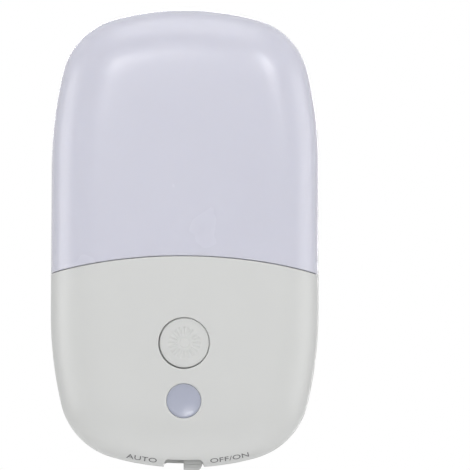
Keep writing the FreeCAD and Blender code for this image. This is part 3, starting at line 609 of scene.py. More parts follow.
@dataclass(frozen=True)
class Crown:
    """The form of the front skin from its rim to the middle.

    Attributes:
        front: Depth of the flat middle.
        steps: Depths of the rows up the wall, from the rim.
        chamfer: How far the rim's own row lies inside the wall.
        band: How far in from the rim the finely sampled round of the edge reaches.
        margins: How much further in the band's last two rows lie.
        run: How far in the edge's bend reaches.
        bend: How far the edge's bend falls.
        power: Power of the bend's superellipse, 2 for a plain ellipse.
        fall: How much lower the crown is at the edge than in the middle.
        reach: How far in from the edge the crown falls.
        wall: Thickness of the skin.
        inset: How far the rim lies inside the body's outline.
    """

    front: float = 30.0
    steps: tuple[float, ...] = (16.2, 16.32, 18.1, 20.5, 21.1)
    chamfer: float = 0.12
    band: float = 7.0
    margins: tuple[float, float] = (0.35, 1.0)
    run: float = 12.5
    bend: float = 7.4
    power: float = 2.35
    fall: float = 0.7
    reach: float = 19.0
    wall: float = 1.8
    inset: float = 0.35

    def depth(self, s: np.ndarray) -> np.ndarray:
        """Gives the outer depth: front less the crown's fall less the drop of the bend.

        The crown falls with the cube of the share of its reach left. The bend is a
        quarter of a superellipse: the share of the run left and the share of the bend
        kept, each to the power, add up to one.

        Args:
            s: Distances in from the rim's outline.

        Returns:
            Depths of the outer surface in front of the wall.
        """
        drop = self.fall * np.clip((self.reach - s) / self.reach, 0, 1) ** 3
        left = np.clip((self.run - s) / self.run, 0, 1)
        kept = (1 - left**self.power) ** (1 / self.power)
        return self.front - drop - self.bend * (1 - kept)

    def rows(self) -> tuple[np.ndarray, np.ndarray, np.ndarray, np.ndarray]:
        """Gives the rows of the band, from the rim up the wall and round the edge.

        Returns:
            Distances in and depths of the outer rows, then of the inner rows.
        """
        turn = np.radians(np.concatenate([[0, 3, 7], np.linspace(12, 90, 14)]))
        s = np.concatenate([np.zeros(len(self.steps)), self.band * (1 - np.cos(turn)),
                            self.band + np.array(self.margins)])
        d = np.concatenate([self.steps, self.depth(s[len(self.steps):])])
        s[0] = self.chamfer
        inner_s = np.maximum(s, self.wall)
        inner_d = np.minimum(d, self.depth(inner_s) - self.wall)
        return s, d, inner_s, inner_d


@dataclass(frozen=True)
class Hole:
    """A round hole through the front skin.

    Attributes:
        x: Centre to the right.
        z: Centre height.
        radius: Radius of the hole.
        lip: Radius of its rounded rim.
    """

    x: float
    z: float
    radius: float
    lip: float


# Shells and insert


@dataclass
class FrontSkin:
    """The part of the front shell on one side of the seam.

    Attributes:
        side: Above or below the seam.
        name: Name of the piece, and of the node that it stands for.
        finish: Its finish.
        seam_radius: Radius of this side's edge of the seam.
        outline: The body's outline.
        crown: The form of the skin.
        seam_z: Height of the seam's centre.
        lip: Radius of the rounded edge at the seam.
        holes: Holes through the skin.
        notch: Half width, height and end length of the scallop in the bottom edge.
        slot: Half width and depth of the knob's slot, or zeros.
        spacing: Distance between the points of the middle.
        clear: How far those points stay from the band, the seam and the holes.
    """

    side: Side
    name: str
    finish: Finish
    seam_radius: float
    outline: Outline = Outline()
    crown: Crown = Crown()
    seam_z: float = -93.4
    lip: float = 0.28
    holes: tuple[Hole, ...] = ()
    notch: tuple[float, float, float] = (0.0, 0.0, 1.0)
    slot: tuple[float, float] = (0.0, 0.0)
    spacing: float = 1.6
    clear: float = 0.9

    @property
    def edge(self) -> float:
        """Radius of the arc where the seam's rounded edge meets the surface."""
        return self.seam_radius + self.side.value * self.lip

    def seam(self, x: np.ndarray, radius: float) -> np.ndarray:
        """Gives the seam's height: its centre plus the root of radius squared less x squared.

        Args:
            x: Distances to the right.
            radius: Radius of the arc.

        Returns:
            Heights of the arc.
        """
        return self.seam_z + np.sqrt(radius**2 - np.square(x))

    def height(self, plan: np.ndarray) -> np.ndarray:
        """Gives the skin's outer depth at plan positions."""
        return self.crown.depth(self.outline.inside(*plan.T) - self.crown.inset)

    def columns(self) -> tuple[np.ndarray, np.ndarray, np.ndarray]:
        """Samples the rim from the right end of the seam round to the left end.

        Returns:
            Plan positions, outward normals, and each column's share of the way from
            the foot of the straight side to the seam.
        """
        ends = np.concatenate([np.linspace(16.0, 6.0, 11), SCALLOP_ENDS])
        if self.side is Side.ABOVE_SEAM:
            share = np.concatenate([[1.0, 0.996, 0.985], np.linspace(0.95, 0.05, 16)])
        else:
            share = np.concatenate([[1.0, 0.992, 0.975, 0.93, 0.86], np.linspace(0.75, 0.15, 5)])
        flip = np.array([1.0, float(self.side.value)])
        place, normal = (np.concatenate([np.tile(one[:1], (len(share), 1)), one]) * flip
                         for one in self.outline.quarter((9, 22), ends))
        share = np.concatenate([share, np.zeros(len(place) - len(share))])
        place = np.concatenate([place, place[-2::-1] * OVER_X])
        normal = np.concatenate([normal, normal[-2::-1] * OVER_X])
        share = np.concatenate([share, share[-2::-1]])
        return place + np.array([0.0, self.outline.middle]), normal, share

    def band(self, s: np.ndarray, d: np.ndarray, radius: float) -> np.ndarray:
        """Sweeps the profile along the rim: the rim's point less s along its normal.

        On the straight side the height runs in even shares up to the seam's arc, and
        in the scallop s is never less than the scallop's height there.

        Args:
            s: Distances in of the rows.
            d: Depths of the rows.
            radius: Radius of the seam that the end columns follow.

        Returns:
            Array of columns by rows by 3 points.
        """
        place, normal, share = self.columns()
        inward = np.maximum(s, scallop(place, self.notch)[:, None]) + self.crown.inset
        plan = place[:, None] - inward[..., None] * normal[:, None]
        foot = self.outline.middle + self.side.value * self.outline.straight / 2
        share = share[:, None]
        rise = foot + share * (self.seam(plan[..., 0], radius) - foot)
        return across(plan[..., 0], np.where(share > 0, rise, plan[..., 1]), d)

    def _within(self, plan: np.ndarray, band_gap: float, hole_gap: float) -> np.ndarray:
        """Tells which plan positions lie on the middle of the skin.

        Args:
            plan: Array of n by 2 positions.
            band_gap: Least distance from the band's last row.
            hole_gap: Least distance from the holes' and the seam's lips.

        Returns:
            Array of n booleans.
        """
        row = self.crown.inset + self.crown.band + self.crown.margins[-1]
        x, z = plan.T
        held = self.outline.inside(x, z) > row + band_gap
        held &= (np.hypot(x, z - self.seam_z) - self.edge) * self.side.value > hole_gap
        for hole in self.holes:
            held &= np.hypot(x - hole.x, z - hole.z) - hole.radius - hole.lip > hole_gap
        return held

    def face(self, rim: np.ndarray) -> tuple[np.ndarray, np.ndarray, np.ndarray]:
        """Triangulates the middle of the skin between the band, the seam and the holes.

        Args:
            rim: Plan positions of the band's last row.

        Returns:
            Plan positions, triangles, and the plan positions along the seam.
        """
        along = np.linspace(rim[-1, 0], rim[0, 0], 72)[1:-1]
        seam, *near = (np.stack([along, self.seam(along, self.edge + self.side.value * gap)], -1)
                       for gap in (0.0, 0.12, 0.6))
        loops = [np.concatenate([rim, seam])]
        for hole in self.holes:
            first, *rest = (ring(hole.x, hole.z, hole.radius + hole.lip + gap, HOLE_POINTS)
                            for gap in (0.0, 0.12, 0.5))
            loops.append(first)
            near += rest
        near, far = np.concatenate(near), lattice(self.spacing)
        extra = np.concatenate([near[self._within(near, 0.35, 0.05)],
                                far[self._within(far, self.clear, self.clear)]])
        plan, faces = triangulate(loops, extra)
        return plan, faces[self._within(plan[faces].mean(axis=1), -0.001, 0.001)], seam

    def _middle(self, work: Patchwork, rim: np.ndarray, inner_rim: np.ndarray) -> np.ndarray:
        """Adds the outer and inner faces between the band, the seam and the holes.

        Args:
            work: Patches to add to.
            rim: Plan positions of the outer band's last row.
            inner_rim: Plan positions of the inner band's last row.

        Returns:
            Plan positions along the seam.
        """
        plan, faces, seam = self.face(rim)
        work.add(lay(plan, self.height(plan)), faces)
        under = plan.copy()
        on_seam = np.abs(np.hypot(plan[:, 0], plan[:, 1] - self.seam_z) - self.edge) < ON_CIRCLE
        under[on_seam, 1] = self.seam(plan[on_seam, 0], self.seam_radius)
        for hole in self.holes:
            resize(plan, under, (hole.x, hole.z), hole.radius + hole.lip, hole.radius)
        follow(plan, under, rim, inner_rim)
        work.add(lay(under, self.height(plan) - self.crown.wall), faces)
        return seam

    def _seam_lip(self, work: Patchwork, outer: np.ndarray, inner: np.ndarray,
                  seam: np.ndarray) -> None:
        """Rounds the edge along the seam and runs it down to the inner surface.

        A point of the round is its start plus lip times the sine of the turn along the
        surface, less lip times one less the cosine of the turn out of it.

        Args:
            work: Patches to add to.
            outer: Outer band.
            inner: Inner band.
            seam: Plan positions along the seam, from left to right.
        """
        top = self.height(seam)
        under = across(seam[:, 0], self.seam(seam[:, 0], self.seam_radius), top - self.crown.wall)
        start = np.concatenate([outer[-1], lay(seam, top), outer[0, ::-1]])
        last = np.concatenate([inner[-1], under, inner[0, ::-1]])
        run = unit(np.gradient(start, axis=0))
        radial = unit(across(start[:, 0], start[:, 2] - self.seam_z, 0.0))
        ahead = square_to(-self.side.value * radial, run)
        out = unit(np.cross(run, ahead))
        from_middle = start - np.array([0.0, 0.0, self.outline.middle])
        out *= np.sign((out * from_middle).sum(1, keepdims=True))
        along = unit(square_to(ahead, out))
        rows = (start[:, None] + self.lip * np.sin(ROUND)[:, None] * along[:, None]
                - self.lip * (1 - np.cos(ROUND))[:, None] * out[:, None])
        deep = rows[:, -1] + 0.25 * (last - rows[:, -1])
        rows = np.concatenate([rows, deep[:, None], last[:, None]], 1)
        work.grid(rows)
        work.fan(rows[0])
        work.fan(rows[-1])

    def _hole_lip(self, work: Patchwork, hole: Hole) -> None:
        """Rounds the rim of a hole and runs it down to the inner surface.

        Args:
            work: Patches to add to.
            hole: The hole.
        """
        top = self.height(ring(hole.x, hole.z, hole.radius + hole.lip, HOLE_POINTS))[:, None]
        round_off = top - hole.lip * (1 - np.cos(ROUND))
        foot = top - self.crown.wall
        under = round_off[:, -1:] + 0.3 * (foot - round_off[:, -1:])
        radii = hole.radius + hole.lip * (1 - np.sin(ROUND))
        work.grid(turned(np.append(radii, [hole.radius, hole.radius]),
                         np.concatenate([round_off, under, foot], 1), hole.x, hole.z,
                         HOLE_POINTS), closed=True)

    def build(self) -> bpy.types.Object:
        """Builds the skin as one closed, welded mesh.

        Returns:
            The new object.
        """
        work = Patchwork()
        s, d, inner_s, inner_d = self.crown.rows()
        outer = self.band(s, d, self.edge)
        inner = self.band(inner_s, inner_d, self.seam_radius)
        place, _, _ = self.columns()
        half, deep = self.slot
        held = (np.abs(place[:, 0]) <= half + 1e-6) & (place[:, 1] < 0)
        work.walls(outer, inner, held, int((d <= deep + 1e-6).sum()) - 1)
        seam = self._middle(work, outer[:, -1, ::2], inner[:, -1, ::2])
        self._seam_lip(work, outer, inner, seam)
        for hole in self.holes:
            self._hole_lip(work, hole)
        return work.piece(self.name, self.finish)


@dataclass
class RearTray:
    """The rear housing: a deep tray with a rounded back, a plug opening and two screw wells.

    Attributes:
        finish: Its finish.
        outline: The body's outline.
        depths: Depths of the back, the floor inside and the rim.
        walls: Thickness of the side wall and radius of the back's edge.
        margin: How much further in than that edge the band ends.
        opening: Half width, half height and corner radius of the plug opening.
        wells: Centres of the screw wells.
        well: Radius and depth of a well, and radius and depth of the pillar round it.
        screw: Radius of the screw's hole.
        notch: Half width, height and end length of the scallop in the bottom edge.
        slot: Half width of the gap for the knob, and the depth of its back.
        slot_rows: How many spans of the wall lie in front of that depth.
        lip: Radius of the small rounded edges.
        spacing: Distance between the points of the back.
        clear: How far those points stay from the openings.
    """

    finish: Finish
    outline: Outline = Outline()
    depths: tuple[float, float, float] = (1.2, 3.4, 16.14)
    walls: tuple[float, float] = (2.2, 2.4)
    margin: float = 0.3
    opening: tuple[float, float, float] = (13.1, 8.1, 3.1)
    wells: tuple[tuple[float, float], ...] = ((-18.5, -11.0), (18.5, -11.0))
    well: tuple[float, float, float, float] = (2.7, 9.0, 3.8, 14.95)
    screw: float = 1.5
    notch: tuple[float, float, float] = (4.6, 0.95, 1.0)
    slot: tuple[float, float] = (4.4, 15.4)
    slot_rows: int = 4
    lip: float = 0.25
    spacing: float = 2.6
    clear: float = 1.2

    def band(self, s: np.ndarray, d: np.ndarray) -> np.ndarray:
        """Sweeps the profile round the outline: the rim's point less s along its normal.

        Args:
            s: Distances in of the rows.
            d: Depths of the rows.

        Returns:
            Array of columns by rows by 3 points.
        """
        ends = np.concatenate([np.linspace(15.0, 6.0, 10), SCALLOP_ENDS])
        place, normal = self.outline.loop(ends)
        inward = np.maximum(s, scallop(place, self.notch)[:, None])
        return lay(place[:, None] - inward[..., None] * normal[:, None], d)

    def rows(self) -> tuple[np.ndarray, np.ndarray, np.ndarray, np.ndarray]:
        """Gives the rows of the band, from the rim down the wall and round the back.

        Returns:
            Distances in and depths of the outer rows, then of the inner rows.
        """
        back, floor, rim = self.depths
        wall, bend = self.walls
        turn = np.radians(np.linspace(0, 90, 9))
        small = np.radians([90, 60, 30, 0])
        s = np.concatenate([self.lip * (1 - np.cos(small)), [0, 0], bend * (1 - np.cos(turn)),
                            [bend + self.margin]])
        d = np.concatenate([rim - self.lip * (1 - np.sin(small)), [self.slot[1], 9.0],
                            back + bend * (1 - np.sin(turn)), [back]])
        return s, d, np.maximum(s, wall), np.maximum(d, floor)

    def _within(self, plan: np.ndarray, gap: float) -> np.ndarray:
        """Tells which positions lie on the back, away from its edge and openings.

        Args:
            plan: Array of n by 2 positions.
            gap: Least distance.

        Returns:
            Array of n booleans.
        """
        row = self.walls[1] + self.margin
        held = self.outline.inside(*plan.T) > row + min(gap, 0.5) - ON_CIRCLE
        held &= beyond_box(plan, *self.opening) - self.lip > gap
        for centre in self.wells:
            held &= np.hypot(*(plan - np.array(centre)).T) - self.well[0] - self.lip > gap
        return held

    def _back(self, work: Patchwork, rim: np.ndarray, inner_rim: np.ndarray) -> None:
        """Adds the flat back and the floor inside it.

        Args:
            work: Patches to add to.
            rim: Plan positions of the outer band's last row.
            inner_rim: Plan positions of the inner band's last row.
        """
        mouth = self.well[0] + self.lip
        box, *near = (rounded_box(*self.opening, self.lip + more) for more in (0.0, 0.15, 0.7))
        near += [ring(*centre, mouth + more, WELL_POINTS) for centre in self.wells
                 for more in (0.12, 0.5)]
        near, far = np.concatenate(near), lattice(self.spacing)
        extra = np.concatenate([near[self._within(near, 0.05)],
                                far[self._within(far, self.clear)]])
        circles = [ring(*centre, mouth, WELL_POINTS) for centre in self.wells]
        plan, faces = triangulate([rim, box] + circles, extra)
        faces = faces[self._within(plan[faces].mean(axis=1), 0.001)]
        back, floor, _ = self.depths
        work.add(lay(plan, back), faces)
        under = plan.copy()
        follow(plan, under, rim, inner_rim)
        follow(plan, under, box, rounded_box(*self.opening))
        for centre in self.wells:
            resize(plan, under, centre, mouth, self.well[2])
        work.add(lay(under, floor), faces)

    def _opening(self, work: Patchwork) -> None:
        """Adds the rounded edge and the wall of the plug opening.

        Args:
            work: Patches to add to.
        """
        back, floor, _ = self.depths
        plans = [rounded_box(*self.opening, gap) for gap in self.lip * (1 - np.sin(ROUND))]
        depths = back + self.lip * (1 - np.cos(ROUND))
        work.grid(sections(plans + plans[-1:], [*depths, floor]), closed=True)

    def _well(self, work: Patchwork, x: float, z: float) -> None:
        """Adds a screw well with its rounded mouth, and the pillar round it.

        Args:
            work: Patches to add to.
            x: Centre to the right.
            z: Centre height.
        """
        bore, deep, pillar, top = self.well
        back, floor, _ = self.depths
        radii = bore + self.lip * (1 - np.sin(ROUND))
        depths = back + self.lip * (1 - np.cos(ROUND))
        for profile, heights in ((np.append(radii, [bore, self.screw]),
                                  np.append(depths, [deep, deep])),
                                 (np.array([pillar, pillar, self.screw]),
                                  np.array([floor, top, top]))):
            rows = turned(profile, heights, x, z, WELL_POINTS)
            work.grid(rows, closed=True)
            work.fan(rows[:, -1])

    def build(self) -> bpy.types.Object:
        """Builds the tray as one closed, welded mesh.

        Returns:
            The new object.
        """
        work = Patchwork()
        s, d, inner_s, inner_d = self.rows()
        outer, inner = self.band(s, d), self.band(inner_s, inner_d)
        foot = outer[:, self.slot_rows]
        held = (np.abs(foot[:, 0]) <= self.slot[0] + 1e-3) & (foot[:, 2] < 0)
        work.walls(outer, inner, held, self.slot_rows, closed=True)
        self._back(work, outer[:, -1, ::2], inner[:, -1, ::2])
        self._opening(work)
        for x, z in self.wells:
            self._well(work, x, z)
        return work.piece("rear_housing", self.finish)


@dataclass
class PlugInsert:
    """The moulded block that carries the blades: a boss, a flange inside and a core.

    Attributes:
        finish: Its finish.
        boss: Half width, half height and corner radius of the boss.
        steps: Depths of the boss's face, the flange's two faces and the core's end.
        flange: Half width, half height and corner radius of the flange.
        core: Half width, half height and corner radius of the core.
        lip: Radius of the boss's edge.
        slots: Half thickness, half height and middle of each blade's slot.
        slot: Corner radius and depth of the slots.
        spacing: Distance between the points of the boss's face.
        clear: How far those points stay from its edge, and from the slots.
    """

    finish: Finish
    boss: tuple[float, float, float] = (13.0, 8.0, 3.0)
    steps: tuple[float, float, float, float] = (0.0, 3.42, 5.4, 9.0)
    flange: tuple[float, float, float] = (14.5, 9.5, 1.0)
    core: tuple[float, float, float] = (9.5, 5.95, 1.0)
    lip: float = 0.45
    slots: tuple[tuple[float, float, float], ...] = ((0.78, 3.22, 6.35), (0.78, 3.99, -6.35))
    slot: tuple[float, float] = (0.2, 1.6)
    spacing: float = 2.0
    clear: tuple[float, float] = (1.2, 0.6)

    def _off_slots(self, plan: np.ndarray, gap: float) -> np.ndarray:
        """Tells which plan positions lie outside the blades' slots.

        Args:
            plan: Array of n by 2 positions.
            gap: Least distance.

        Returns:
            Array of n booleans.
        """
        off = np.ones(len(plan), bool)
        for half_x, half_z, middle in self.slots:
            off &= ((np.abs(plan[:, 0] - middle) > half_x + gap)
                    | (np.abs(plan[:, 1]) > half_z + gap))
        return off

    def build(self) -> bpy.types.Object:
        """Builds the insert as rounded sections from the boss's face to the core's end.

        Returns:
            The new object.
        """
        work = Patchwork()
        face, near, far, end = self.steps
        turn = ROUND[::-1]
        plans = [rounded_box(*self.boss, gap) for gap in -self.lip * (1 - np.cos(turn))]
        plans += [rounded_box(*size) for size in (self.boss, self.flange, self.flange,
                                                  self.core, self.core)]
        depths = face + self.lip * (1 - np.sin(turn))
        work.grid(sections(plans, [*depths, near, near, far, far, end]), closed=True)
        work.fan(lay(plans[-1], end))
        corner, deep = self.slot
        slots = [rounded_box(half_x, half_z, corner) + np.array([middle, 0.0])
                 for half_x, half_z, middle in self.slots]
        grid = lattice(self.spacing)
        from_edge, from_slot = self.clear
        held = (np.abs(grid) < np.array(self.boss[:2]) - from_edge).all(1)
        held &= self._off_slots(grid, from_slot)
        plan, faces = triangulate([plans[0]] + slots, grid[held])
        middle = plan[faces].mean(axis=1)
        kept = self._off_slots(middle, -2 * ON_CIRCLE) & (beyond_box(middle, *self.boss) < 0)
        work.add(lay(plan, face), faces[kept])
        for slot in slots:
            sides = sections([slot, slot], [face, face + deep])
            work.grid(sides, closed=True)
            work.fan(sides[:, -1])
        return work.piece("plug_insert", self.finish)


# Button, window and knob


@dataclass
class PushButton:
    """The round button: a barely domed cap with a sunburst, a rim and a stem.

    Attributes:
        finish: Its finish.
        z: Height of its centre.
        shift: How far the cap sits to the right and up in its hole.
        radius: Radius of the cap.
        front: Depth of the cap's face.
        dome: How much the face falls for each square millimetre of radius squared.
        edge: Radius of the cap's rounded edge, and how much lower than the front it is.
        skirt: Height of the straight side under the front.
        flange: Radius and depths of the flange behind the cover.
        stem: Radius of the stem, depth of its end and size of its chamfer.
        rays: How many rays the sunburst has.
        ray: Inner and outer radius of a ray, its depth and the length of its run-out.
        ray_wave: Where the wave round the face starts to sink, and by how much it grows
            until it is fully sunk.
        hub: Radius, width and depth of the groove round the hub.
    """

    finish: Finish
    z: float = 4.1
    shift: tuple[float, float] = (0.08, 0.06)
    radius: float = 5.60
    front: float = 29.72
    dome: float = 0.0015
    edge: tuple[float, float] = (0.30, 0.035)
    skirt: float = 1.0
    flange: tuple[float, float, float] = (6.25, 28.05, 27.15)
    stem: tuple[float, float, float] = (2.2, 20.9, 0.2)
    rays: int = 20
    ray: tuple[float, float, float, float] = (1.75, 3.55, 0.10, 0.2)
    ray_wave: tuple[float, float] = (0.30, 0.45)
    hub: tuple[float, float, float] = (1.15, 0.099, 0.07)

    def face(self, r: np.ndarray, turn: np.ndarray) -> np.ndarray:
        """Gives the depth of the face as a function of radius and angle.

        It is the front less the rays, less the hub's groove, a bell curve of the radius,
        and less the dome. A ray's depth is the product of a smooth step of the raised
        cosine of the angle and two shares of its run-outs, each times three less twice
        itself, and at most its full depth.

        Args:
            r: Radii.
            turn: Angles.

        Returns:
            Depths of the face.
        """
        inner, outer, sunk, run = self.ray
        low, rise = self.ray_wave
        wave = np.clip((0.5 * np.cos(turn * self.rays) + 0.5 - low) / rise, 0, 1)
        start, stop = (np.clip(way / run, 0, 1) for way in (r - inner, outer - r))
        rays = sunk * wave * wave * (3 - 2 * wave)
        rays = np.clip(rays * start * stop * (3 - 2 * start) * (3 - 2 * stop), 0, sunk)
        middle, width, deep = self.hub
        groove = deep * np.exp(-(((r - middle) / width) ** 2))
        return self.front - rays - groove - self.dome * r**2

    def build(self) -> bpy.types.Object:
        """Builds the button as one turned mesh with the sunburst in its face.

        Returns:
            The new object.
        """
        count = self.rays * 12
        turn = np.arange(count)[:, None] * (2 * np.pi / count)
        r = np.concatenate([[POLE, 0.5, 0.8], np.linspace(0.95, 1.35, 9),
                            np.linspace(1.5, 3.9, 25), [4.2, 4.6, 4.85]])
        bend, lower = self.edge
        far, shelf, back = self.flange
        stem, end, chamfer = self.stem
        round_off = np.radians(np.linspace(0, 90, 6))
        radii = np.concatenate([r, self.radius - bend * (1 - np.sin(round_off)),
                                [self.radius, self.radius, far - 0.1, far, far, stem, stem,
                                 stem - chamfer, POLE]])
        depths = np.concatenate([self.front - lower - bend * (1 - np.cos(round_off)),
                                 [self.front - self.skirt, shelf, shelf, shelf - 0.1, back, back,
                                  end + chamfer, end, end]])
        depths = np.concatenate([self.face(r, turn), np.tile(depths, (count, 1))], 1)
        work = Patchwork()
        work.capped(turned(radii, depths, self.shift[0], self.z + self.shift[1], count))
        return work.piece("push_button", self.finish, "button", crease=50)


@dataclass
class SensorWindow:
    """The translucent lens over the light sensor, set back in its hole.

    Attributes:
        finish: Its finish.
        z: Height of its centre.
        radius: Radius of the lens.
        front: Depth of its flat rim.
        dish: Radius and depth of the dish in its face, and its step below the rim.
        flange: Radius and depths of the flange behind the cover.
    """

    finish: Finish
    z: float = -8.8
    radius: float = 3.85
    front: float = 29.42
    dish: tuple[float, float, float] = (3.35, 0.30, 0.02)
    flange: tuple[float, float, float] = (4.45, 28.15, 27.25)

    def build(self) -> bpy.types.Object:
        """Turns the lens: its face is front less a dish that rises with the radius squared.

        Returns:
            The new object.
        """
        wide, deep, step = self.dish
        inner = np.array([POLE, 0.8, 1.6, 2.4, 3.0, wide])
        far, shelf, back = self.flange
        radii = np.append(inner, [self.radius - 0.23, self.radius - 0.08, self.radius,
                                  self.radius, far - 0.1, far, far, POLE])
        depths = np.append(self.front - deep * (1 - (inner / wide) ** 2) - step,
                           [self.front, self.front, self.front - 0.08, shelf, shelf,
                            shelf - 0.1, back, back])
        work = Patchwork()
        work.capped(turned(radii, depths, 0.0, self.z, HOLE_POINTS))
        return work.piece("sensor_window", self.finish, crease=50)


@dataclass
class SlideKnob:
    """The knob of the slide switch: a ribbed tab on a flat shield.

    Attributes:
        finish: Its finish.
        sides: Left and right side of the tab.
        ends: Heights of the tab's root, of its first fine section and of its lowest edge.
        depths: Depths of the back and the front of the tab.
        corner: Radius of the tab's long edges.
        toe: Height of the round at the lowest edge, and how far in it runs.
        curve: Height where the sides start to run in, and the length over which they do.
        run_in: How far the left and the right side run in.
        ribs: Depth and pitch of the ribs, the height where they start and their run-out.
        shield: Left, right, bottom, top, back and front of the shield.
    """

    finish: Finish
    sides: tuple[float, float] = (-0.05, 4.15)
    ends: tuple[float, float, float] = (-20.0, -22.4, -25.2)
    depths: tuple[float, float] = (16.6, 20.1)
    corner: float = 0.3
    toe: tuple[float, float] = (0.5, 0.45)
    curve: tuple[float, float] = (-23.3, 1.9)
    run_in: tuple[float, float] = (0.25, 1.35)
    ribs: tuple[float, float, float, float] = (0.05, 0.62, -22.6, 0.2)
    shield: tuple[float, float, float, float, float, float] = (-4.85, 8.95, -21.3, -19.7, 16.4, 17.2)

    def sections(self) -> tuple[np.ndarray, ...]:
        """Sizes the tab's sections from its root to its lowest edge.

        The right side runs in with the share of the curve's length to the power of 1.5,
        the left with its fourth power. At the toe all four sides run in as a quarter
        ellipse. The front lies lower by a rib's depth times a raised cosine.

        Returns:
            Heights, left sides, right sides, backs and fronts of the sections.
        """
        top, fine, bottom = self.ends
        toe, toe_in = self.toe
        z = np.concatenate([[top], np.linspace(fine, bottom + toe, 33),
                            bottom + toe * (1 - np.sin(np.radians(np.arange(15, 91, 15))))])
        close = np.clip((bottom + toe - z) / toe, 0, 1)
        tuck = toe_in * (1 - np.sqrt(np.clip(1 - close**2, 0, 1)))
        start, length = self.curve
        low = np.clip((start - z) / length, 0, 1)
        deep, pitch, first, run = self.ribs
        rib = deep * (0.5 - 0.5 * np.cos((z - bottom) * 2 * np.pi / pitch))
        rib = rib * np.clip((first - z) / run, 0, 1) * np.clip((z - bottom - toe) / run, 0, 1)
        left = self.sides[0] + self.run_in[0] * low**4 + tuck
        right = self.sides[1] - self.run_in[1] * low**1.5 - tuck
        return z, left, right, self.depths[0] + tuck, self.depths[1] - tuck - rib

    def build(self) -> bpy.types.Object:
        """Builds the tab as a stack of rounded sections, and the shield as a block.

        Returns:
            The new object.
        """
        work = Patchwork()
        z, left, right, back, front = (one[:, None] for one in self.sections())
        cos, sin = (self.corner * (1 - wave) for wave in (np.cos(ROUND), np.sin(ROUND)))
        x = np.concatenate([right - cos, left + sin, left + cos, right - sin], 1)
        depth = np.concatenate([front - sin, front - cos, back + sin, back + cos], 1)
        work.capped(across(x, z, depth).transpose(1, 0, 2))
        left, right, low, high, back, front = self.shield
        x, depth = np.array([[left, left, right, right], [back, front, front, back]])
        work.capped(across(x[:, None], np.array([low, high]), depth[:, None]))
        return work.piece("slide_knob", self.finish, "slider", crease=40)


@dataclass
class Lettering:
    """The printed words beside the knob, laid on the rounded bottom edge.

    Attributes:
        finish: The ink.
        outline: The body's outline.
        crown: The form of the skin that carries it.
        words: Each word with its middle to the right and its width.
        base: How far in from the rim the letters stand.
        height: Height of the letters along the curved surface, in plan.
        proud: How far the ink stands in front of the skin.
        thick: How far the ink's back lies above its face, inside the skin.
        fine: Longest edge of the letters' mesh, as a share of their type size.
    """

    finish: Finish
    outline: Outline = Outline()
    crown: Crown = Crown()
    words: tuple[tuple[str, float, float], ...] = (("AUTO", -9.65, 7.0), ("OFF/ON", 10.55, 8.9))
    base: float = 0.62
    height: float = 0.98
    proud: float = 0.02
    thick: float = 0.03
    fine: float = 0.09

    def flat(self, word: str) -> bpy.types.Mesh:
        """Cuts a word into a fine flat mesh of two layers with walls between them.

        Args:
            word: The word.

        Returns:
            The mesh, in units of the type size, with the layers at 0 and minus thick.
        """
        curve = bpy.data.curves.new("letters", "FONT")
        curve.body = word
        curve.resolution_u = 6
        text = bpy.data.objects.new("letters", curve)
        bpy.context.scene.collection.objects.link(text)
        bpy.context.view_layer.update()
        graph = bpy.context.evaluated_depsgraph_get()
        mesh = bpy.data.meshes.new_from_object(text.evaluated_get(graph))
        bpy.data.objects.remove(text)
        work = bmesh.new()
        work.from_mesh(mesh)
        bmesh.ops.remove_doubles(work, verts=work.verts, dist=1e-5)
        bmesh.ops.triangulate(work, faces=work.faces)
        for _ in range(3):
            long = [edge for edge in work.edges if edge.calc_length() > self.fine]
            bmesh.ops.subdivide_edges(work, edges=long, cuts=1)
            bmesh.ops.triangulate(work, faces=work.faces)
        bmesh.ops.solidify(work, geom=list(work.faces), thickness=self.thick)
        bmesh.ops.recalc_face_normals(work, faces=work.faces)
        work.to_mesh(mesh)
        work.free()
        return mesh

    def lay_on(self, mesh: bpy.types.Mesh, middle: float, width: float) -> None:
        """Lays a flat word on the skin.

        A point goes to the rim's arc at its share of the word's width, in by base plus
        its share of the letters' height, at the skin's depth there. The second layer
        lies higher by the ink's thickness.

        Args:
            mesh: The flat word, changed in place.
            middle: Where its middle goes, to the right along the rim.
            width: How wide it becomes.
        """
        flat = np.empty(len(mesh.vertices) * 3)
        mesh.vertices.foreach_get("co", flat)
        x, y, layer = flat.reshape(-1, 3).T
        share = (x - x.min()) / (x.max() - x.min()) - 0.5
        inward = self.base + y / y.max() * self.height
        radius = self.outline.end - self.crown.inset
        angle = (middle + share * width) / radius
        centre = self.outline.middle - self.outline.height / 2 + self.outline.end
        place = across((radius - inward) * np.sin(angle),
                       centre - (radius - inward) * np.cos(angle) - layer,
                       self.crown.depth(inward) + self.proud)
        mesh.vertices.foreach_set("co", (place * MM).ravel())
        mesh.update()

    def build(self) -> list[bpy.types.Object]:
        """Builds each word and gives it to the housing.

        Returns:
            The new objects.
        """
        made = []
        for word, middle, width in self.words:
            mesh = self.flat(word)
            self.lay_on(mesh, middle, width)
            name = "letters_" + word.replace("/", "_").lower()
            mesh.name = name
            mesh.materials.clear()
            mesh.materials.append(self.finish.material())
            item = bpy.data.objects.new(name, mesh)
            bpy.context.scene.collection.objects.link(item)
            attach(item, "housing")
            LOG.info("%s: %d faces", name, len(mesh.polygons))
            made.append(item)
        return made


# Carried nodes


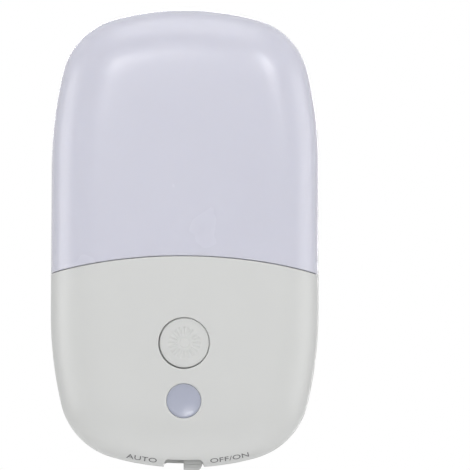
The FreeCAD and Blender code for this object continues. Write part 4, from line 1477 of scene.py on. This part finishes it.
@dataclass
class Carried:
    """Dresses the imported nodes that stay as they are.

    Attributes:
        finishes: Every finish.
        GROUPS: The nodes that each finish dresses.
    """

    finishes: Finishes
    GROUPS: ClassVar[dict[str, tuple[str, ...]]] = {
        "blades": ("line_blade", "neutral_blade"),
        "board": ("main_board", "led_board"),
        "lamps": ("leds",),
        "reflector": ("reflector_tray",),
        "black": ("board_header", "bridge_rectifier", "driver_chip", "tact_switch_body",
                  "tact_plunger", "slide_lever"),
        "film": ("film_capacitor",),
        "sleeve": ("smoothing_capacitor", "photocell_sleeve"),
        "resistor": ("fuse_resistor",),
        "blue": ("varistor",),
        "cell": ("photocell",),
        "switch": ("slide_switch_body",),
        "screws": ("housing_screws", "led_board_screws"),
    }

    def dress(self) -> None:
        """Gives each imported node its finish."""
        wanted = {name: group for group, names in self.GROUPS.items() for name in names}
        for name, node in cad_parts.items():
            if name in wanted:
                finish = getattr(self.finishes, wanted[name])
                node.data.materials.clear()
                node.data.materials.append(finish.material())
                LOG.info("%s dressed as %s", name, finish.name)


# Stage


@dataclass(frozen=True)
class Lamp:
    """A square area lamp that faces the object.

    Attributes:
        name: Name of the lamp.
        place: Where it stands, in metres.
        size: Length of its sides, in metres.
        power: Its power in watts.
    """

    name: str
    place: tuple[float, float, float]
    size: float
    power: float

    def build(self, aim: tuple[float, float, float]) -> None:
        """Puts the lamp up.

        Args:
            aim: The point that it faces, in metres.
        """
        data = bpy.data.lights.new(self.name, "AREA")
        data.size = self.size
        data.energy = self.power
        item = bpy.data.objects.new(self.name, data)
        item.location = self.place
        way = Vector(aim) - Vector(self.place)
        item.rotation_euler = way.to_track_quat("-Z", "Y").to_euler()
        bpy.context.scene.collection.objects.link(item)


@dataclass
class Stage:
    """Camera, floor, world and lamps, in metres.

    Attributes:
        place: Where the camera stands.
        turn: Turns of the camera, in degrees.
        shift: Shift of its picture, as a share of the picture.
        distance: Distance from the camera to the parting plane.
        field: Height of the view at that plane.
        sensor_mm: Width of the camera's sensor, in millimetres.
        floor_half: Half the length of the floor's sides.
        floor_z: Height of the floor.
        floor_share: Share of white that the floor shows to the camera.
        fill: Strength of the world as light on the object.
        aim: The point that every lamp faces.
        lamps: The lamps.
    """

    place: tuple[float, float, float] = (0.005, -0.7662, -0.006)
    turn: tuple[float, float, float] = (92.596, -0.275, 0.382)
    shift: tuple[float, float] = (0.1080, 0.0082)
    distance: float = 0.75
    field: float = 0.10695
    sensor_mm: float = 36.0
    floor_half: float = 4.0
    floor_z: float = -0.900
    floor_share: float = 0.97
    fill: float = 0.16
    aim: tuple[float, float, float] = (0.0, -0.016, 0.028)
    lamps: tuple[Lamp, ...] = (
        Lamp("side_left", (-1.2, -0.38, 0.10), 0.8, 7.6),
        Lamp("side_right", (1.2, -0.38, 0.05), 0.9, 7.2),
        Lamp("top", (0.0, -0.22, 0.50), 0.36, 1.15),
        Lamp("low", (0.0, -0.30, -0.50), 0.60, 1.50),
        Lamp("glint_left", (-0.14, -1.10, 0.33), 0.18, 1.8),
        Lamp("glint_right", (0.36, -1.03, 0.41), 0.22, 2.9),
        Lamp("back_left", (-0.12, 1.3, 0.40), 0.5, 5.0),
        Lamp("back_right", (0.16, 1.3, 0.05), 0.5, 5.0))

    def camera(self) -> None:
        """Sets the camera nearly square on and a little off centre, as in the photograph."""
        data = bpy.data.cameras.new("camera")
        data.sensor_width = self.sensor_mm
        data.lens = self.sensor_mm * self.distance / self.field
        data.shift_x, data.shift_y = self.shift
        data.clip_start = 0.01
        item = bpy.data.objects.new("camera", data)
        item.location = self.place
        item.rotation_euler = [math.radians(angle) for angle in self.turn]
        bpy.context.scene.collection.objects.link(item)
        bpy.context.scene.camera = item

    def seen(self, tree: bpy.types.NodeTree) -> bpy.types.NodeSocket:
        """Adds nodes that are 1 for what the camera, a gloss or clear plastic shows.

        Args:
            tree: The nodes to add to.

        Returns:
            The socket with the result.
        """
        path = tree.nodes.new("ShaderNodeLightPath")
        total = path.outputs["Is Camera Ray"]
        for name in ("Is Glossy Ray", "Is Transmission Ray"):
            more = tree.nodes.new("ShaderNodeMath")
            more.operation = "MAXIMUM"
            tree.links.new(total, more.inputs[0])
            tree.links.new(path.outputs[name], more.inputs[1])
            total = more.outputs[0]
        return total

    def floor(self) -> None:
        """Lays a pale floor that shows the object's shadow and is white to the camera."""
        mesh = bpy.data.meshes.new("floor")
        corners = [(x * self.floor_half, y * self.floor_half, self.floor_z)
                   for x, y in ((-1, -1), (1, -1), (1, 1), (-1, 1))]
        mesh.from_pydata(corners, [], [(0, 1, 2, 3)])
        made = bpy.data.materials.new("floor")
        made.use_nodes = True
        nodes, links = made.node_tree.nodes, made.node_tree.links
        shader = nodes["Principled BSDF"]
        set_inputs(shader, {"Base Color": (0.9, 0.9, 0.9, 1.0), "Roughness": 0.9,
                            "Specular IOR Level": 0.1})
        level = nodes.new("ShaderNodeMath")
        level.operation = "MULTIPLY"
        level.inputs[1].default_value = self.floor_share
        links.new(self.seen(made.node_tree), level.inputs[0])
        glow = nodes.new("ShaderNodeEmission")
        glow.inputs["Strength"].default_value = 1.0
        mix = nodes.new("ShaderNodeMixShader")
        links.new(level.outputs[0], mix.inputs["Fac"])
        links.new(shader.outputs["BSDF"], mix.inputs[1])
        links.new(glow.outputs["Emission"], mix.inputs[2])
        links.new(mix.outputs["Shader"], nodes["Material Output"].inputs["Surface"])
        mesh.materials.append(made)
        item = bpy.data.objects.new("floor", mesh)
        bpy.context.scene.collection.objects.link(item)

    def world(self) -> None:
        """Makes the world white to the camera and soft grey as light."""
        made = bpy.data.worlds.new("world")
        bpy.context.scene.world = made
        made.use_nodes = True
        nodes, links = made.node_tree.nodes, made.node_tree.links
        shade = nodes["Background"]
        shade.inputs["Color"].default_value = (1.0, 1.0, 1.0, 1.0)
        spread = nodes.new("ShaderNodeMapRange")
        set_inputs(spread, {"To Min": self.fill, "To Max": 1.0})
        links.new(self.seen(made.node_tree), spread.inputs["Value"])
        links.new(spread.outputs["Result"], shade.inputs["Strength"])

    def build(self) -> None:
        """Sets the whole stage."""
        bpy.context.scene.view_settings.view_transform = "Standard"
        self.camera()
        self.floor()
        self.world()
        for lamp in self.lamps:
            lamp.build(self.aim)


def main() -> None:
    """Builds the night light piece by piece, and then its stage."""
    finishes = Finishes()
    FrontSkin(Side.BELOW_SEAM, "front_cover", finishes.shell, 116.94,
              holes=(Hole(0.0, 4.1, 5.75, 0.22), Hole(0.0, -8.8, 3.875, 0.45)),
              notch=(4.55, 1.6, 1.0), slot=(4.4, 20.5)).build()
    FrontSkin(Side.ABOVE_SEAM, "diffuser", finishes.diffuser, 117.06).build()
    RearTray(finishes.shell).build()
    PlugInsert(finishes.insert).build()
    PushButton(finishes.shell).build()
    SensorWindow(finishes.window).build()
    SlideKnob(finishes.shell).build()
    Lettering(finishes.ink).build()
    Carried(finishes).dress()
    Stage().build()


if __name__ == "__main__":
    main()
